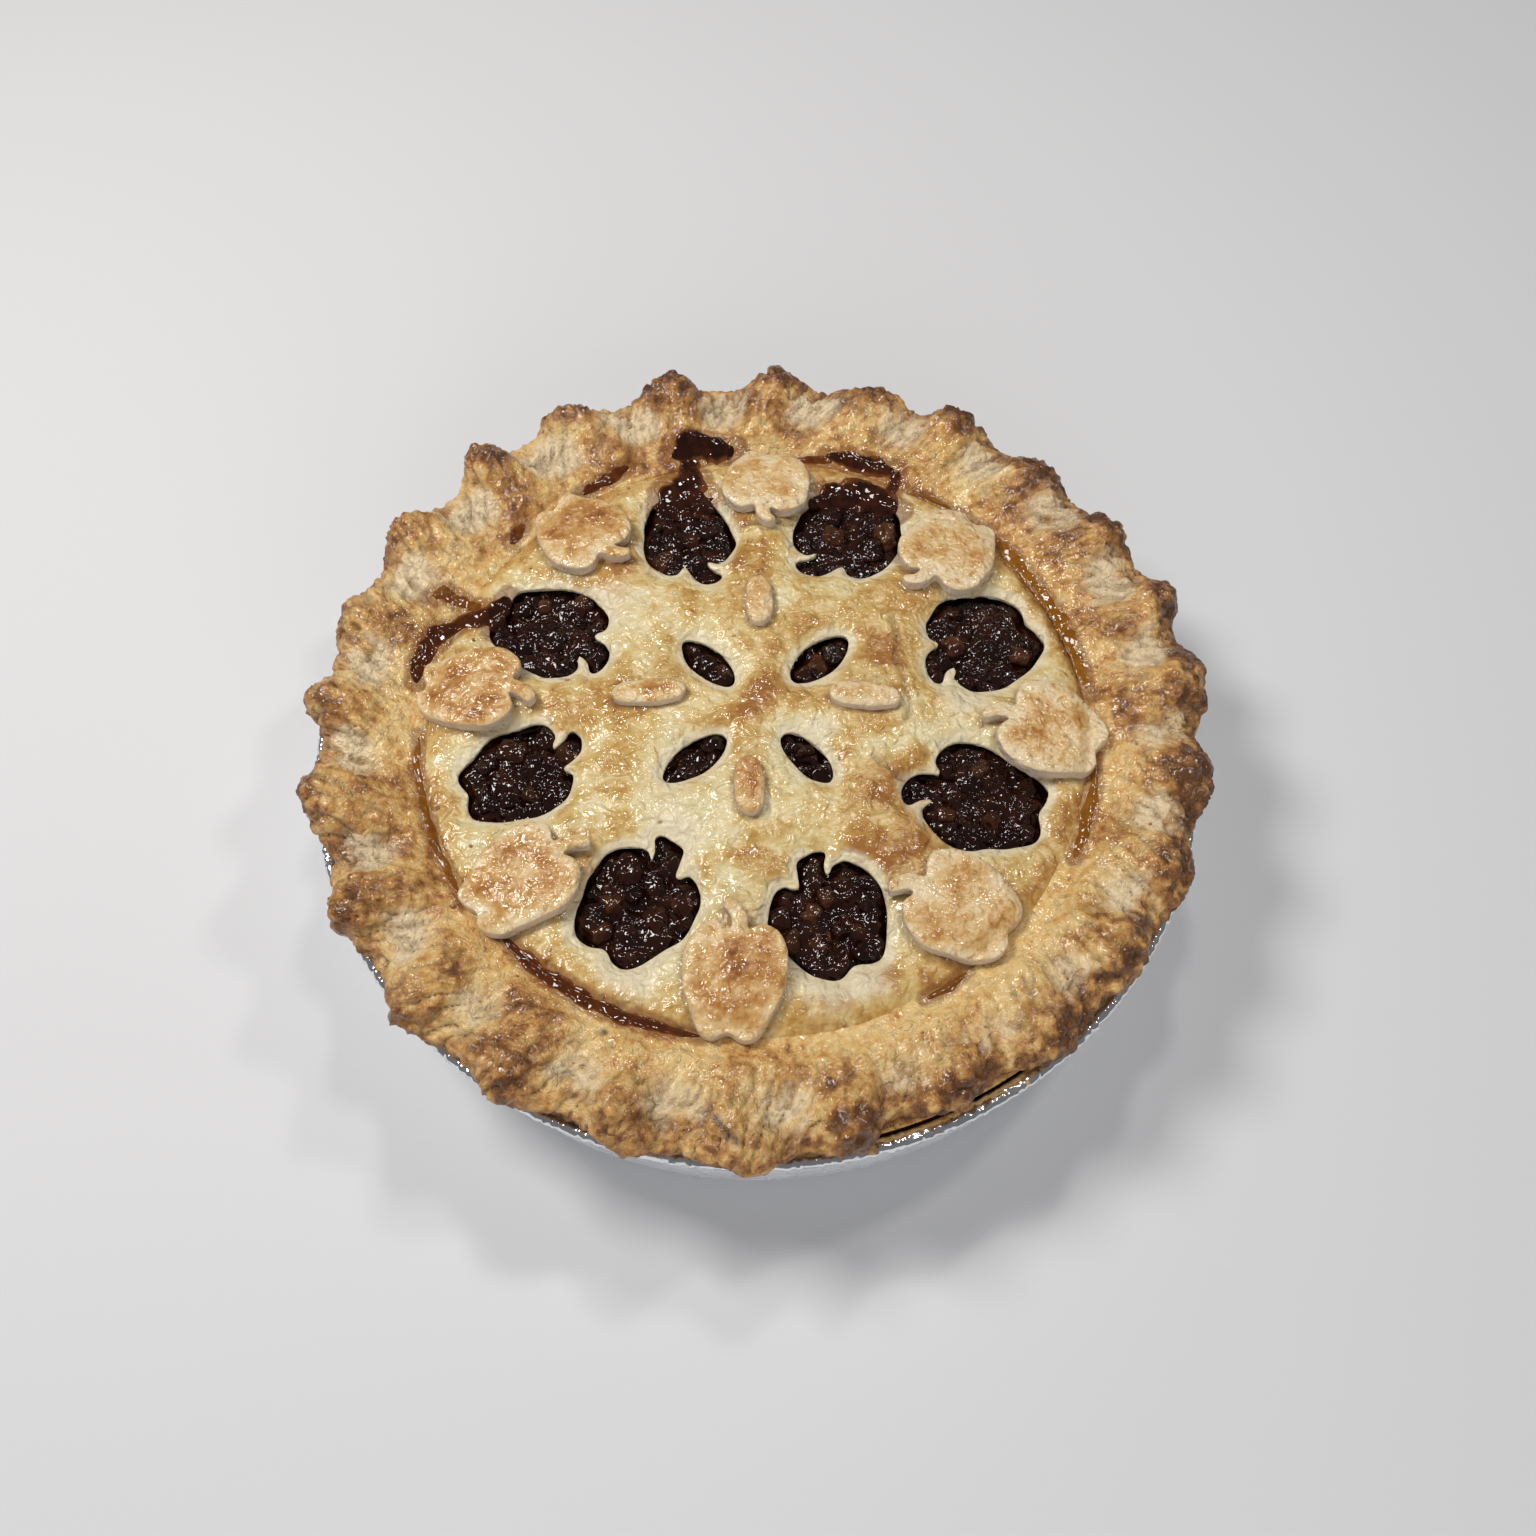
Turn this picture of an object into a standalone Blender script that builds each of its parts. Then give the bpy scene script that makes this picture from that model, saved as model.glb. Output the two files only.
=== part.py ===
"""An apple pie in its foil tin: a pastry shell with a pinched rim, a dark diced-apple filling, a lid with
eight apple-shaped and four leaf-shaped windows, and eight apples and four pips of pastry laid on the lid.

Metres, +Z up. The origin is the middle of the tin's base, and the front of the pie faces -Y."""

import math
import random

import bmesh
import bpy
from mathutils import Euler, Matrix, Vector

MM = 0.001
CLEARANCE = 0.4 * MM  # kept between every two pieces
WELD = 0.01 * MM  # points nearer than this are one
SHARP = math.radians(40)  # edges that turn more than this are shaded sharp

# Foil tin
TIN_RIM_RADIUS = 111.5 * MM
TIN_BASE_RADIUS = 106.4 * MM
TIN_HEIGHT = 36.0 * MM
TIN_WALL = 0.7 * MM
TIN_FLANGE = 3.4 * MM
TIN_BEAD_RADIUS = 1.4 * MM
TIN_CORNER_RADIUS = 4.0 * MM
TIN_CORNER_TURN = math.radians(72)
TIN_FOLD_DEPTH = 2.4 * MM  # the wall turns out to the flange this far under the rim
BEAD_START = math.radians(-165)
BEAD_TURN = math.radians(270)
TIN_SEGMENTS = 60
BEAD_SEGMENTS = 6

# Pastry shell and its rim
SHELL_THICKNESS = 4.5 * MM
SHELL_BASE_THICKNESS = 4.0 * MM
RIM_OUTER_RADIUS = 109.5 * MM
RIM_CREST_RADIUS = 102.0 * MM
RIM_INNER_RADIUS = 85.2 * MM
RIM_CREST_HEIGHT = TIN_HEIGHT + 8.6 * MM
RIM_INNER_HEIGHT = TIN_HEIGHT + 4.6 * MM
FLUTE_COUNT = 25
FLUTE_PHASE = math.radians(4.4)
FLUTE_DRIFT = math.radians(3.8)  # how far the hand-pinched flutes stray from an even spacing
FLUTE_LIFT = 4.6 * MM
FLUTE_REACH = 3.6 * MM
FLUTE_LIFT_SPREAD = (0.65, 1.3)
FLUTE_REACH_SPREAD = (0.5, 1.25)
FLUTE_BREADTH = (3.2, 4.6)  # degrees
SEGMENTS_PER_FLUTE = 6
RIM_WANDER = ((0.7 * MM, 3, 0.6), (0.5 * MM, 7, 0.0))  # size, waves round the rim, phase
CREST_SWELL = 0.8 * MM
CREST_LIFT_SHARE = 0.75  # of a ridge's lift, how much raises the crest
SHOULDER_FOLLOW = 0.6  # of the lip's wander, how much the shoulder takes
# The rim's top from its outer lip in to the lid. For each point: the radius and height it is measured from,
# how far out and up it lies from them, and its share of a ridge's lift
RIM_CUT = (
    ("lip", -1.2 * MM, "seat", 0.1 * MM, 0.0),
    ("lip", 0.0, "seat", 1.8 * MM, 0.3),
    ("lip", -0.6 * MM, "seat", 4.0 * MM, 0.9),
    ("shoulder", 2.6 * MM, "crest", -1.2 * MM, 0.35),
    ("shoulder", -1.6 * MM, "crest", 0.0, 0.0),
    ("ring", -6.0 * MM, "crest", -1.0 * MM, -0.25),
    ("ring", -11.0 * MM, "ledge", 2.2 * MM, 0.25),
    ("edge", 2.0 * MM, "ledge", 0.6 * MM, 0.0),
    ("edge", 0.0, "ledge", -0.4 * MM, 0.0),
)
RIM_TOP_START = 3  # the first point of the cut that looks up
PULLED_IN = 4.5 * MM  # the rim draws back from the tin here
PULLED_IN_AT = math.radians(-66)
PULLED_IN_SPREAD = math.radians(16)

# Lid
LID_RADIUS = 84.2 * MM
LID_THICKNESS = 3.6 * MM
LID_EDGE_HEIGHT = TIN_HEIGHT + 4.8 * MM
LID_DOME = 5.0 * MM
LID_EDGE_DROP = 1.4 * MM
LID_SEGMENTS = 75
LID_BEVEL = 0.9 * MM
LID_EDGE_BREADTH = 6.0 * MM
LID_SWELL = {"height": 0.35 * MM, "x_pitch": 11.0 * MM, "y_pitch": 13.0 * MM}
LID_SHRINK = (  # how far the lid's edge has drawn in, at which bearing, and over what breadth in radians
    (1.8 * MM, math.radians(18), 0.45),
    (1.0 * MM, math.radians(-110), 0.30),
)
LID_LEDGE_DEPTH = 2.5 * MM  # the shell's inner wall starts this far under the lid

# The one cutter that made the windows and the pastry apples, stem along +Y
APPLE_HALF_WIDTH = 12.6 * MM
APPLE_TOP = 11.0 * MM
APPLE_BOTTOM = -14.5 * MM
STEM_LENGTH = 6.5 * MM
STEM_HALF_WIDTH = 2.0 * MM
STEM_LEAN = 2.6 * MM
APPLE_NOTCH = 1.3 * MM
# The right side from its foot up: shares of the half width, and of the bottom or the top
APPLE_SIDE = (
    (0.28, -1.00),
    (0.56, -0.92),
    (0.80, -0.58),
    (0.95, -0.22),
    (1.00, 0.18),
    (0.93, 0.58),
    (0.72, 0.90),
    (0.46, 1.00),
    (0.24, 0.90),
)
STEM_FOOT = 0.84  # share of the apple's top
# Round the stem: shares of its half width, its lean and its length
STEM_OUTLINE = (
    (1.00, 0.00, 0.00),
    (1.00, 0.35, 0.45),
    (1.15, 1.00, 0.85),
    (0.30, 1.00, 1.05),
    (-0.90, 1.00, 0.90),
    (-1.00, 0.35, 0.50),
    (-1.00, 0.00, 0.00),
)
CUT_WANDER = 0.35 * MM  # how far a cut edge strays, as hand pressing and baking leave it
SMALL_CUT_WANDER = 0.2 * MM

LEAF_HALF_LENGTH = 9.6 * MM
LEAF_HALF_WIDTH = 4.1 * MM
LEAF_POINTS = 12
LEAF_TAPER = 0.9

PASTRY_THICKNESS = 3.8 * MM
PASTRY_BEVEL = 1.1 * MM
PASTRY_CROWN = 0.5 * MM
PASTRY_GAP = 0.7 * MM  # under each piece, where the lid and the rim are uneven
PIP_HALF_LENGTH = 8.8 * MM
PIP_HALF_WIDTH = 3.9 * MM
PIP_THICKNESS = 3.0 * MM
PIP_POINTS = 14
PIP_TAPER = 0.25
OVAL_TAPER_SHARE = 0.45

# Filling
FILLING_DROP = 4.6 * MM  # its level under the lid's top
CHUNK_RADIUS = (2.9 * MM, 5.2 * MM)
CHUNK_STAND = 2.8 * MM  # how far the chunks stand over the filling's level
CHUNKS_PER_WINDOW = 8
CHUNKS_PER_LEAF = 3
CHUNK_TRIES = 400
CHUNK_ROUGHNESS = (0.86, 1.12)
CHUNK_SPREAD = 1.15  # a chunk's widest reach against its radius
CHUNK_SPACING = 0.72  # between two middles, as a share of both radii
CHUNK_FLATNESS = 0.9
FILLING_SEGMENTS = 36
FILLING_RINGS = (0.35, 0.7, 1.0)
FILLING_TOP_GAP = 2.2 * MM
FILLING_FLOOR_GAP = 1.5 * MM

# Where each window lies: distance out, bearing and turn in degrees, width and length against the cutter
WINDOWS = (
    {"out": 61.0 * MM, "bearing": 66.0, "turn": -8, "wide": 1.12, "long": 1.04, "lean": 1},
    {"out": 61.5 * MM, "bearing": 20.5, "turn": 6, "wide": 1.14, "long": 1.05, "lean": -1},
    {"out": 59.0 * MM, "bearing": -24.0, "turn": 8, "wide": 1.10, "long": 1.12, "lean": -1},
    {"out": 57.0 * MM, "bearing": -73.0, "turn": 8, "wide": 1.08, "long": 1.00, "lean": 1},
    {"out": 57.5 * MM, "bearing": -119.0, "turn": -6, "wide": 1.06, "long": 1.05, "lean": -1},
    {"out": 60.0 * MM, "bearing": -165.0, "turn": 8, "wide": 0.98, "long": 1.04, "lean": -1},
    {"out": 58.5 * MM, "bearing": 153.5, "turn": -4, "wide": 1.08, "long": 1.10, "lean": 1},
    {"out": 58.5 * MM, "bearing": 108.0, "turn": -4, "wide": 0.92, "long": 1.05, "lean": -1},
)
LEAF_WINDOWS = (
    {"x": 16.0 * MM, "y": 15.0 * MM, "turn": 45, "wide": 1.12, "long": 1.02},
    {"x": -12.3 * MM, "y": 14.6 * MM, "turn": 132, "wide": 0.95, "long": 0.98},
    {"x": -15.2 * MM, "y": -13.2 * MM, "turn": 38, "wide": 1.02, "long": 1.00},
    {"x": 12.4 * MM, "y": -13.4 * MM, "turn": 131, "wide": 0.88, "long": 0.92},
)
PASTRY_APPLES = (
    {"out": 71.0 * MM, "bearing": 87.5, "turn": -6, "wide": 0.95, "long": 0.86, "lean": -1},
    {"out": 69.5 * MM, "bearing": 43.0, "turn": 12, "wide": 1.00, "long": 0.98, "lean": 1},
    {"out": 72.0 * MM, "bearing": -5.0, "turn": -22, "wide": 1.02, "long": 0.98, "lean": -1},
    {"out": 70.5 * MM, "bearing": -49.0, "turn": 20, "wide": 1.02, "long": 1.00, "lean": -1},
    {"out": 69.5 * MM, "bearing": -94.5, "turn": -3, "wide": 0.95, "long": 1.06, "lean": -1},
    {"out": 70.5 * MM, "bearing": -141.0, "turn": 0, "wide": 0.98, "long": 1.06, "lean": 1},
    {"out": 71.0 * MM, "bearing": 174.0, "turn": 2, "wide": 0.92, "long": 0.98, "lean": 1},
    {"out": 72.0 * MM, "bearing": 129.5, "turn": 4, "wide": 0.95, "long": 0.94, "lean": -1},
)
PIPS = (
    {"x": 1.0 * MM, "y": 31.5 * MM, "turn": 90, "wide": 0.98, "long": 0.88},
    {"x": 27.0 * MM, "y": 2.4 * MM, "turn": -4, "wide": 1.00, "long": 1.02},
    {"x": -1.8 * MM, "y": -22.6 * MM, "turn": 91, "wide": 1.00, "long": 0.88},
    {"x": -26.8 * MM, "y": 4.2 * MM, "turn": 3, "wide": 0.95, "long": 1.06},
)

COLOURS = {
    "foil": ((0.80, 0.81, 0.83), 0.28, 1.0),
    "crust": ((0.60, 0.36, 0.15), 0.60, 0.0),
    "lid": ((0.76, 0.53, 0.24), 0.38, 0.0),
    "pastry": ((0.72, 0.46, 0.20), 0.42, 0.0),
    "filling": ((0.05, 0.018, 0.010), 0.22, 0.0),
}


def clear_scene():
    for obj in list(bpy.data.objects):
        bpy.data.objects.remove(obj)


def material(name):
    colour, roughness, metallic = COLOURS[name]
    made = bpy.data.materials.get(name)
    if made is None:
        made = bpy.data.materials.new(name)
        made.use_nodes = True
        shader = made.node_tree.nodes["Principled BSDF"]
        shader.inputs["Base Color"].default_value = (*colour, 1)
        shader.inputs["Roughness"].default_value = roughness
        shader.inputs["Metallic"].default_value = metallic
    return made


def add_object(name, bm, finish):
    """Closes a bmesh into a named object with outward normals."""
    bmesh.ops.remove_doubles(bm, verts=bm.verts, dist=WELD)
    bmesh.ops.recalc_face_normals(bm, faces=bm.faces)
    mesh = bpy.data.meshes.new(name)
    bm.to_mesh(mesh)
    bm.free()
    mesh.materials.append(material(finish))
    mesh.shade_smooth()
    mesh.set_sharp_from_angle(angle=SHARP)
    obj = bpy.data.objects.new(name, mesh)
    bpy.context.collection.objects.link(obj)
    return obj


def smooth_step(low, high, value):
    t = min(max((value - low) / (high - low), 0.0), 1.0)
    return t * t * (3 - 2 * t)


def turn_between(a, b):
    """The signed angle from b to a, within half a turn."""
    return (a - b + math.pi) % math.tau - math.pi


def spin_profile(profile, segments):
    """A bmesh turned once round Z from (radius, height) points that start and end on the axis."""
    bm = bmesh.new()
    verts = [bm.verts.new((radius, 0, height)) for radius, height in profile]
    edges = [bm.edges.new(pair) for pair in zip(verts, verts[1:])]
    bmesh.ops.spin(
        bm, geom=verts + edges, cent=(0, 0, 0), axis=(0, 0, 1),
        angle=math.tau, steps=segments, use_merge=True,
    )
    bmesh.ops.remove_doubles(bm, verts=bm.verts, dist=WELD)
    return bm


# ---- foil tin ----


def tin_wall_radius(height):
    """The outer radius of the tin's sloping wall."""
    return TIN_BASE_RADIUS + (TIN_RIM_RADIUS - TIN_FLANGE - TIN_BASE_RADIUS) * height / TIN_HEIGHT


def corner_arc(radius, height, bend, steps=3):
    """Points round the fold from the flat base, at this height, up to the wall."""
    for step in range(steps + 1):
        angle = -math.pi / 2 + TIN_CORNER_TURN * step / steps
        yield radius - bend + bend * math.cos(angle), height + bend + bend * math.sin(angle)


def build_tin():
    flange_start = TIN_RIM_RADIUS - TIN_FLANGE
    bead_centre = (TIN_RIM_RADIUS - TIN_BEAD_RADIUS, TIN_HEIGHT - TIN_BEAD_RADIUS)
    outside = [(0.0, 0.0), *corner_arc(TIN_BASE_RADIUS, 0.0, TIN_CORNER_RADIUS)]
    outside += [(flange_start, TIN_HEIGHT - TIN_FOLD_DEPTH)]
    bead = []
    for step in range(BEAD_SEGMENTS + 1):
        angle = BEAD_START + BEAD_TURN * step / BEAD_SEGMENTS
        out = bead_centre[0] + TIN_BEAD_RADIUS * math.cos(angle)
        bead.append((out, bead_centre[1] + TIN_BEAD_RADIUS * math.sin(angle)))
    inside = [(flange_start - TIN_WALL / 2, TIN_HEIGHT - TIN_BEAD_RADIUS)]
    inner_corner = corner_arc(TIN_BASE_RADIUS - TIN_WALL, TIN_WALL, TIN_CORNER_RADIUS - TIN_WALL)
    inside += reversed(list(inner_corner))
    inside += [(0.0, TIN_WALL)]
    return add_object("foil_tin", spin_profile(outside + bead + inside, TIN_SEGMENTS), "foil")


# ---- pastry shell ----


def flute_angles():
    """The bearing of each pinched ridge: an even spacing with a slow drift, as fingers leave it."""
    step = math.tau / FLUTE_COUNT
    for k in range(FLUTE_COUNT):
        yield FLUTE_PHASE - step * k + FLUTE_DRIFT * math.sin(step * (k - 2))


def make_flutes():
    """Each ridge with its own height, reach and breadth."""
    draw = random.Random(11)
    return [
        {
            "at": at,
            "lift": FLUTE_LIFT * draw.uniform(*FLUTE_LIFT_SPREAD),
            "reach": FLUTE_REACH * draw.uniform(*FLUTE_REACH_SPREAD),
            "breadth": math.radians(draw.uniform(*FLUTE_BREADTH)),
        }
        for at in flute_angles()
    ]


FLUTES = make_flutes()


def ridge(angle, size):
    """How much of the nearest ridges' lift or reach holds at this bearing."""
    return sum(
        flute[size] * math.exp(-((turn_between(angle, flute["at"]) / flute["breadth"]) ** 2))
        for flute in FLUTES
    )


def rim_outer_radius(angle):
    away = turn_between(angle, PULLED_IN_AT) / PULLED_IN_SPREAD
    drawn_back = PULLED_IN * math.exp(-away * away)
    wander = sum(size * math.sin(waves * angle + phase) for size, waves, phase in RIM_WANDER)
    return RIM_OUTER_RADIUS + wander + ridge(angle, "reach") - drawn_back


def rim_points(angle):
    """The rim's top from its outer lip to the lid, as (radius, height)."""
    lip = rim_outer_radius(angle)
    lift = ridge(angle, "lift")
    radii = {
        "lip": lip,
        "shoulder": RIM_CREST_RADIUS + (lip - RIM_OUTER_RADIUS) * SHOULDER_FOLLOW,
        "ring": RIM_CREST_RADIUS,
        "edge": RIM_INNER_RADIUS,
    }
    heights = {
        "seat": TIN_HEIGHT + CLEARANCE,
        "crest": RIM_CREST_HEIGHT + CREST_SWELL * math.sin(2 * angle + 1.0) + lift * CREST_LIFT_SHARE,
        "ledge": RIM_INNER_HEIGHT,
    }
    return [
        (radii[around] + out, heights[over] + up + share * lift)
        for around, out, over, up, share in RIM_CUT
    ]


def rim_height(radius, angle):
    """The rim's top at a point, or the floor where there is no rim."""
    points = rim_points(angle)
    for (outer, high), (inner, low) in zip(points[RIM_TOP_START:], points[RIM_TOP_START + 1 :]):
        if inner <= radius <= outer:
            return low + (high - low) * (radius - inner) / (outer - inner)
    return 0.0


def shell_profile(angle):
    """One cut through the shell, from the middle of its underside round to the middle of its floor."""
    inside_tin = TIN_WALL + CLEARANCE
    flange_start = TIN_RIM_RADIUS - TIN_FLANGE
    under = [
        *corner_arc(TIN_BASE_RADIUS - inside_tin, inside_tin, TIN_CORNER_RADIUS - TIN_WALL, 2),
        (flange_start - inside_tin - TIN_WALL, TIN_HEIGHT - TIN_FOLD_DEPTH + TIN_WALL),
        (flange_start - TIN_WALL, TIN_HEIGHT + CLEARANCE),
    ]
    floor = inside_tin + SHELL_BASE_THICKNESS
    ledge = LID_EDGE_HEIGHT - LID_THICKNESS - LID_LEDGE_DEPTH
    inside = [(RIM_INNER_RADIUS, ledge), (shell_floor_radius(floor), floor)]
    return under + rim_points(angle) + inside


def shell_floor_radius(floor):
    """Where the shell's inner wall meets its floor."""
    return tin_wall_radius(floor) - TIN_WALL - CLEARANCE - 2 * SHELL_THICKNESS


def build_shell():
    segments = FLUTE_COUNT * SEGMENTS_PER_FLUTE
    bm = bmesh.new()
    rings = []
    for step in range(segments):
        angle = math.tau * step / segments
        turned = [(r * math.cos(angle), r * math.sin(angle), z) for r, z in shell_profile(angle)]
        rings.append([bm.verts.new(point) for point in turned])
    for ring, following in zip(rings, rings[1:] + rings[:1]):
        for near, far in zip(zip(ring, following), zip(ring[1:], following[1:])):
            bm.faces.new((near[0], near[1], far[1], far[0]))
    for end in (0, -1):
        bm.faces.new([ring[end] for ring in rings])
    bmesh.ops.triangulate(bm, faces=bm.faces)
    return add_object("pastry_shell", bm, "crust")


# ---- outlines cut by hand ----


def apple_outline(lean):
    """The cutter's outline, counter-clockwise, with its stem leaning to one side."""
    right = [Vector((0.0, APPLE_BOTTOM + APPLE_NOTCH))]
    for across, up in APPLE_SIDE:
        reach = APPLE_TOP if up > 0 else -APPLE_BOTTOM
        right.append(Vector((APPLE_HALF_WIDTH * across, reach * up)))
    left = [Vector((-point.x, point.y)) for point in reversed(right[1:])]
    stem = []
    for across, leaning, up in STEM_OUTLINE:
        side = STEM_HALF_WIDTH * across + STEM_LEAN * leaning
        stem.append(Vector((side, APPLE_TOP * STEM_FOOT + STEM_LENGTH * up)))
    outline = right + stem + left
    if lean < 0:
        outline = [Vector((-point.x, point.y)) for point in reversed(outline)]
    return outline


def oval_outline(half_length, half_width, points, pointed):
    """A leaf where pointed is near 1, and a round-ended pip where it is near 0."""
    outline = []
    for step in range(points):
        angle = math.tau * step / points
        taper = 1 - pointed * math.cos(angle) ** 2 * OVAL_TAPER_SHARE
        outline.append(Vector((half_length * math.cos(angle), half_width * math.sin(angle) * taper)))
    return outline


def uneven(outline, draw, amount):
    """Moves each point a little, as a hand-pressed cutter and baking do."""
    return [point + Vector((draw.uniform(-1, 1), draw.uniform(-1, 1))) * amount for point in outline]


def placed_apple(row, draw):
    """The cutter's outline laid at its place, stem towards the middle of the pie."""
    bearing = math.radians(row["bearing"])
    turn = Matrix.Rotation(bearing + math.pi / 2 + math.radians(row["turn"]), 2)
    centre = Vector((math.cos(bearing), math.sin(bearing))) * row["out"]
    scaled = [Vector((p.x * row["wide"], p.y * row["long"])) for p in apple_outline(row["lean"])]
    return [turn @ point + centre for point in uneven(scaled, draw, CUT_WANDER)]


def placed_oval(row, half_length, half_width, points, pointed, draw):
    turn = Matrix.Rotation(math.radians(row["turn"]), 2)
    centre = Vector((row["x"], row["y"]))
    shape = oval_outline(half_length * row["long"], half_width * row["wide"], points, pointed)
    return [turn @ point + centre for point in uneven(shape, draw, SMALL_CUT_WANDER)]


def window_outlines():
    draw = random.Random(5)
    cuts = [placed_apple(row, draw) for row in WINDOWS]
    for row in LEAF_WINDOWS:
        cuts.append(placed_oval(row, LEAF_HALF_LENGTH, LEAF_HALF_WIDTH, LEAF_POINTS, LEAF_TAPER, draw))
    return cuts


# ---- lid ----


def lid_radius(angle):
    """The lid's edge, shrunk away from the rim on the right and lower left where syrup has come up."""
    drawn_in = sum(
        size * math.exp(-((turn_between(angle, at) / breadth) ** 2)) for size, at, breadth in LID_SHRINK
    )
    return LID_RADIUS - drawn_in


def lid_top(x, y):
    radius = math.hypot(x, y)
    dome = LID_DOME * (1 - (radius / LID_RADIUS) ** 2)
    edge = LID_EDGE_DROP * smooth_step(LID_RADIUS - LID_EDGE_BREADTH, LID_RADIUS, radius)
    across = math.sin(x / LID_SWELL["x_pitch"] + 0.4)
    along = math.sin(y / LID_SWELL["y_pitch"] + 1.1)
    return LID_EDGE_HEIGHT + dome - edge + LID_SWELL["height"] * across * along


def build_lid():
    bm = bmesh.new()
    border = []
    for step in range(LID_SEGMENTS):
        angle = math.tau * step / LID_SEGMENTS
        border.append(Vector((math.cos(angle), math.sin(angle))) * lid_radius(angle))
    loops = [border, *window_outlines()]
    edges = []
    for loop in loops:
        verts = [bm.verts.new((point.x, point.y, 0)) for point in loop]
        edges += [bm.edges.new(pair) for pair in zip(verts, verts[1:] + verts[:1])]
    bmesh.ops.triangle_fill(bm, use_beauty=True, use_dissolve=False, edges=edges, normal=(0, 0, 1))
    made = bmesh.ops.extrude_face_region(bm, geom=bm.faces[:])
    top = [item for item in made["geom"] if isinstance(item, bmesh.types.BMVert)]
    bmesh.ops.translate(bm, verts=top, vec=(0, 0, LID_THICKNESS))
    lips = [
        edge
        for edge in bm.edges
        if all(vert.co.z > LID_THICKNESS / 2 for vert in edge.verts)
        and any(abs(face.normal.z) < 0.5 for face in edge.link_faces)
    ]
    bmesh.ops.bevel(
        bm, geom=lips, offset=LID_BEVEL, affect="EDGES", segments=1, profile=0.5, material=-1
    )
    bmesh.ops.triangulate(bm, faces=bm.faces)
    for vert in bm.verts:
        vert.co.z += lid_top(vert.co.x, vert.co.y) - LID_THICKNESS
    return add_object("pastry_lid", bm, "lid")


# ---- pastry laid on the lid ----


def resting_height(x, y):
    """The height that a piece lies at: over the lid and, at the edge, over the rim."""
    rim = rim_height(math.hypot(x, y), math.atan2(y, x))
    return max(lid_top(x, y), rim) + PASTRY_GAP


def build_pastry_piece(name, outline, thickness):
    """A piece cut from a sheet of pastry, with rounded edges and a low crown, bent over what it lies on."""
    bm = bmesh.new()
    base = bm.faces.new([bm.verts.new((point.x, point.y, 0)) for point in outline])
    made = bmesh.ops.extrude_face_region(bm, geom=[base])
    top = [item for item in made["geom"] if isinstance(item, bmesh.types.BMFace)][0]
    bmesh.ops.translate(bm, verts=top.verts, vec=(0, 0, thickness))
    bmesh.ops.recalc_face_normals(bm, faces=bm.faces)
    rim = list(top.edges)
    bmesh.ops.bevel(
        bm, geom=rim, offset=PASTRY_BEVEL, affect="EDGES", segments=2, profile=0.5, material=-1
    )
    crown = [face for face in bm.faces if len(face.verts) > 4 and face.normal.z > 0.9]
    bmesh.ops.poke(bm, faces=crown, offset=PASTRY_CROWN)
    bmesh.ops.triangulate(bm, faces=bm.faces)
    for vert in bm.verts:
        vert.co.z += resting_height(vert.co.x, vert.co.y)
    return add_object(name, bm, "pastry")


def build_decorations():
    draw = random.Random(23)
    for number, row in enumerate(PASTRY_APPLES, 1):
        outline = placed_apple(row, draw)
        build_pastry_piece(f"pastry_apple_{number}", outline, PASTRY_THICKNESS)
    for number, row in enumerate(PIPS, 1):
        outline = placed_oval(row, PIP_HALF_LENGTH, PIP_HALF_WIDTH, PIP_POINTS, PIP_TAPER, draw)
        build_pastry_piece(f"pastry_pip_{number}", outline, PIP_THICKNESS)


# ---- filling ----


def filling_level(x, y):
    return lid_top(x, y) - FILLING_DROP


def inside_by(point, outline):
    """How far a point lies inside an outline, or below 0 outside it."""
    nearest = 1.0
    crossings = 0
    for a, b in zip(outline, outline[1:] + outline[:1]):
        along = b - a
        share = min(max((point - a).dot(along) / along.length_squared, 0.0), 1.0)
        nearest = min(nearest, (a + along * share - point).length)
        if (a.y > point.y) != (b.y > point.y):
            crossings += point.x < a.x + (point.y - a.y) * along.x / along.y
    return nearest if crossings % 2 else -nearest


def chunk_spots(outline, wanted, draw):
    """Places for diced pieces inside a window, clear of its edge and of each other's middles."""
    low = Vector((min(p.x for p in outline), min(p.y for p in outline)))
    high = Vector((max(p.x for p in outline), max(p.y for p in outline)))
    spots = []
    for _ in range(CHUNK_TRIES):
        if len(spots) == wanted:
            break
        radius = draw.uniform(*CHUNK_RADIUS)
        spot = Vector((draw.uniform(low.x, high.x), draw.uniform(low.y, high.y)))
        room = inside_by(spot, outline) - CLEARANCE
        radius = min(radius, room / CHUNK_SPREAD)
        if radius < CHUNK_RADIUS[0] * 0.62:
            continue
        if all((spot - other).length > (radius + size) * CHUNK_SPACING for other, size in spots):
            spots.append((spot, radius))
    return spots


def build_chunk(spot, radius, draw, collection):
    """A diced piece of apple, few-sided and tumbled."""
    bm = bmesh.new()
    bmesh.ops.create_icosphere(bm, subdivisions=1, radius=radius)
    for vert in bm.verts:
        vert.co *= draw.uniform(*CHUNK_ROUGHNESS)
    spun = Euler([draw.uniform(0, math.tau) for _ in range(3)]).to_matrix()
    bmesh.ops.rotate(bm, verts=bm.verts, matrix=spun)
    stand = min(CHUNK_STAND * draw.uniform(0.45, 1.0), radius)
    height = filling_level(spot.x, spot.y) + stand - radius * CHUNK_FLATNESS
    bmesh.ops.scale(bm, verts=bm.verts, vec=(1, 1, CHUNK_FLATNESS))
    bmesh.ops.translate(bm, verts=bm.verts, vec=(spot.x, spot.y, height))
    mesh = bpy.data.meshes.new("chunk")
    bm.to_mesh(mesh)
    bm.free()
    obj = bpy.data.objects.new("chunk", mesh)
    collection.objects.link(obj)


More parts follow.
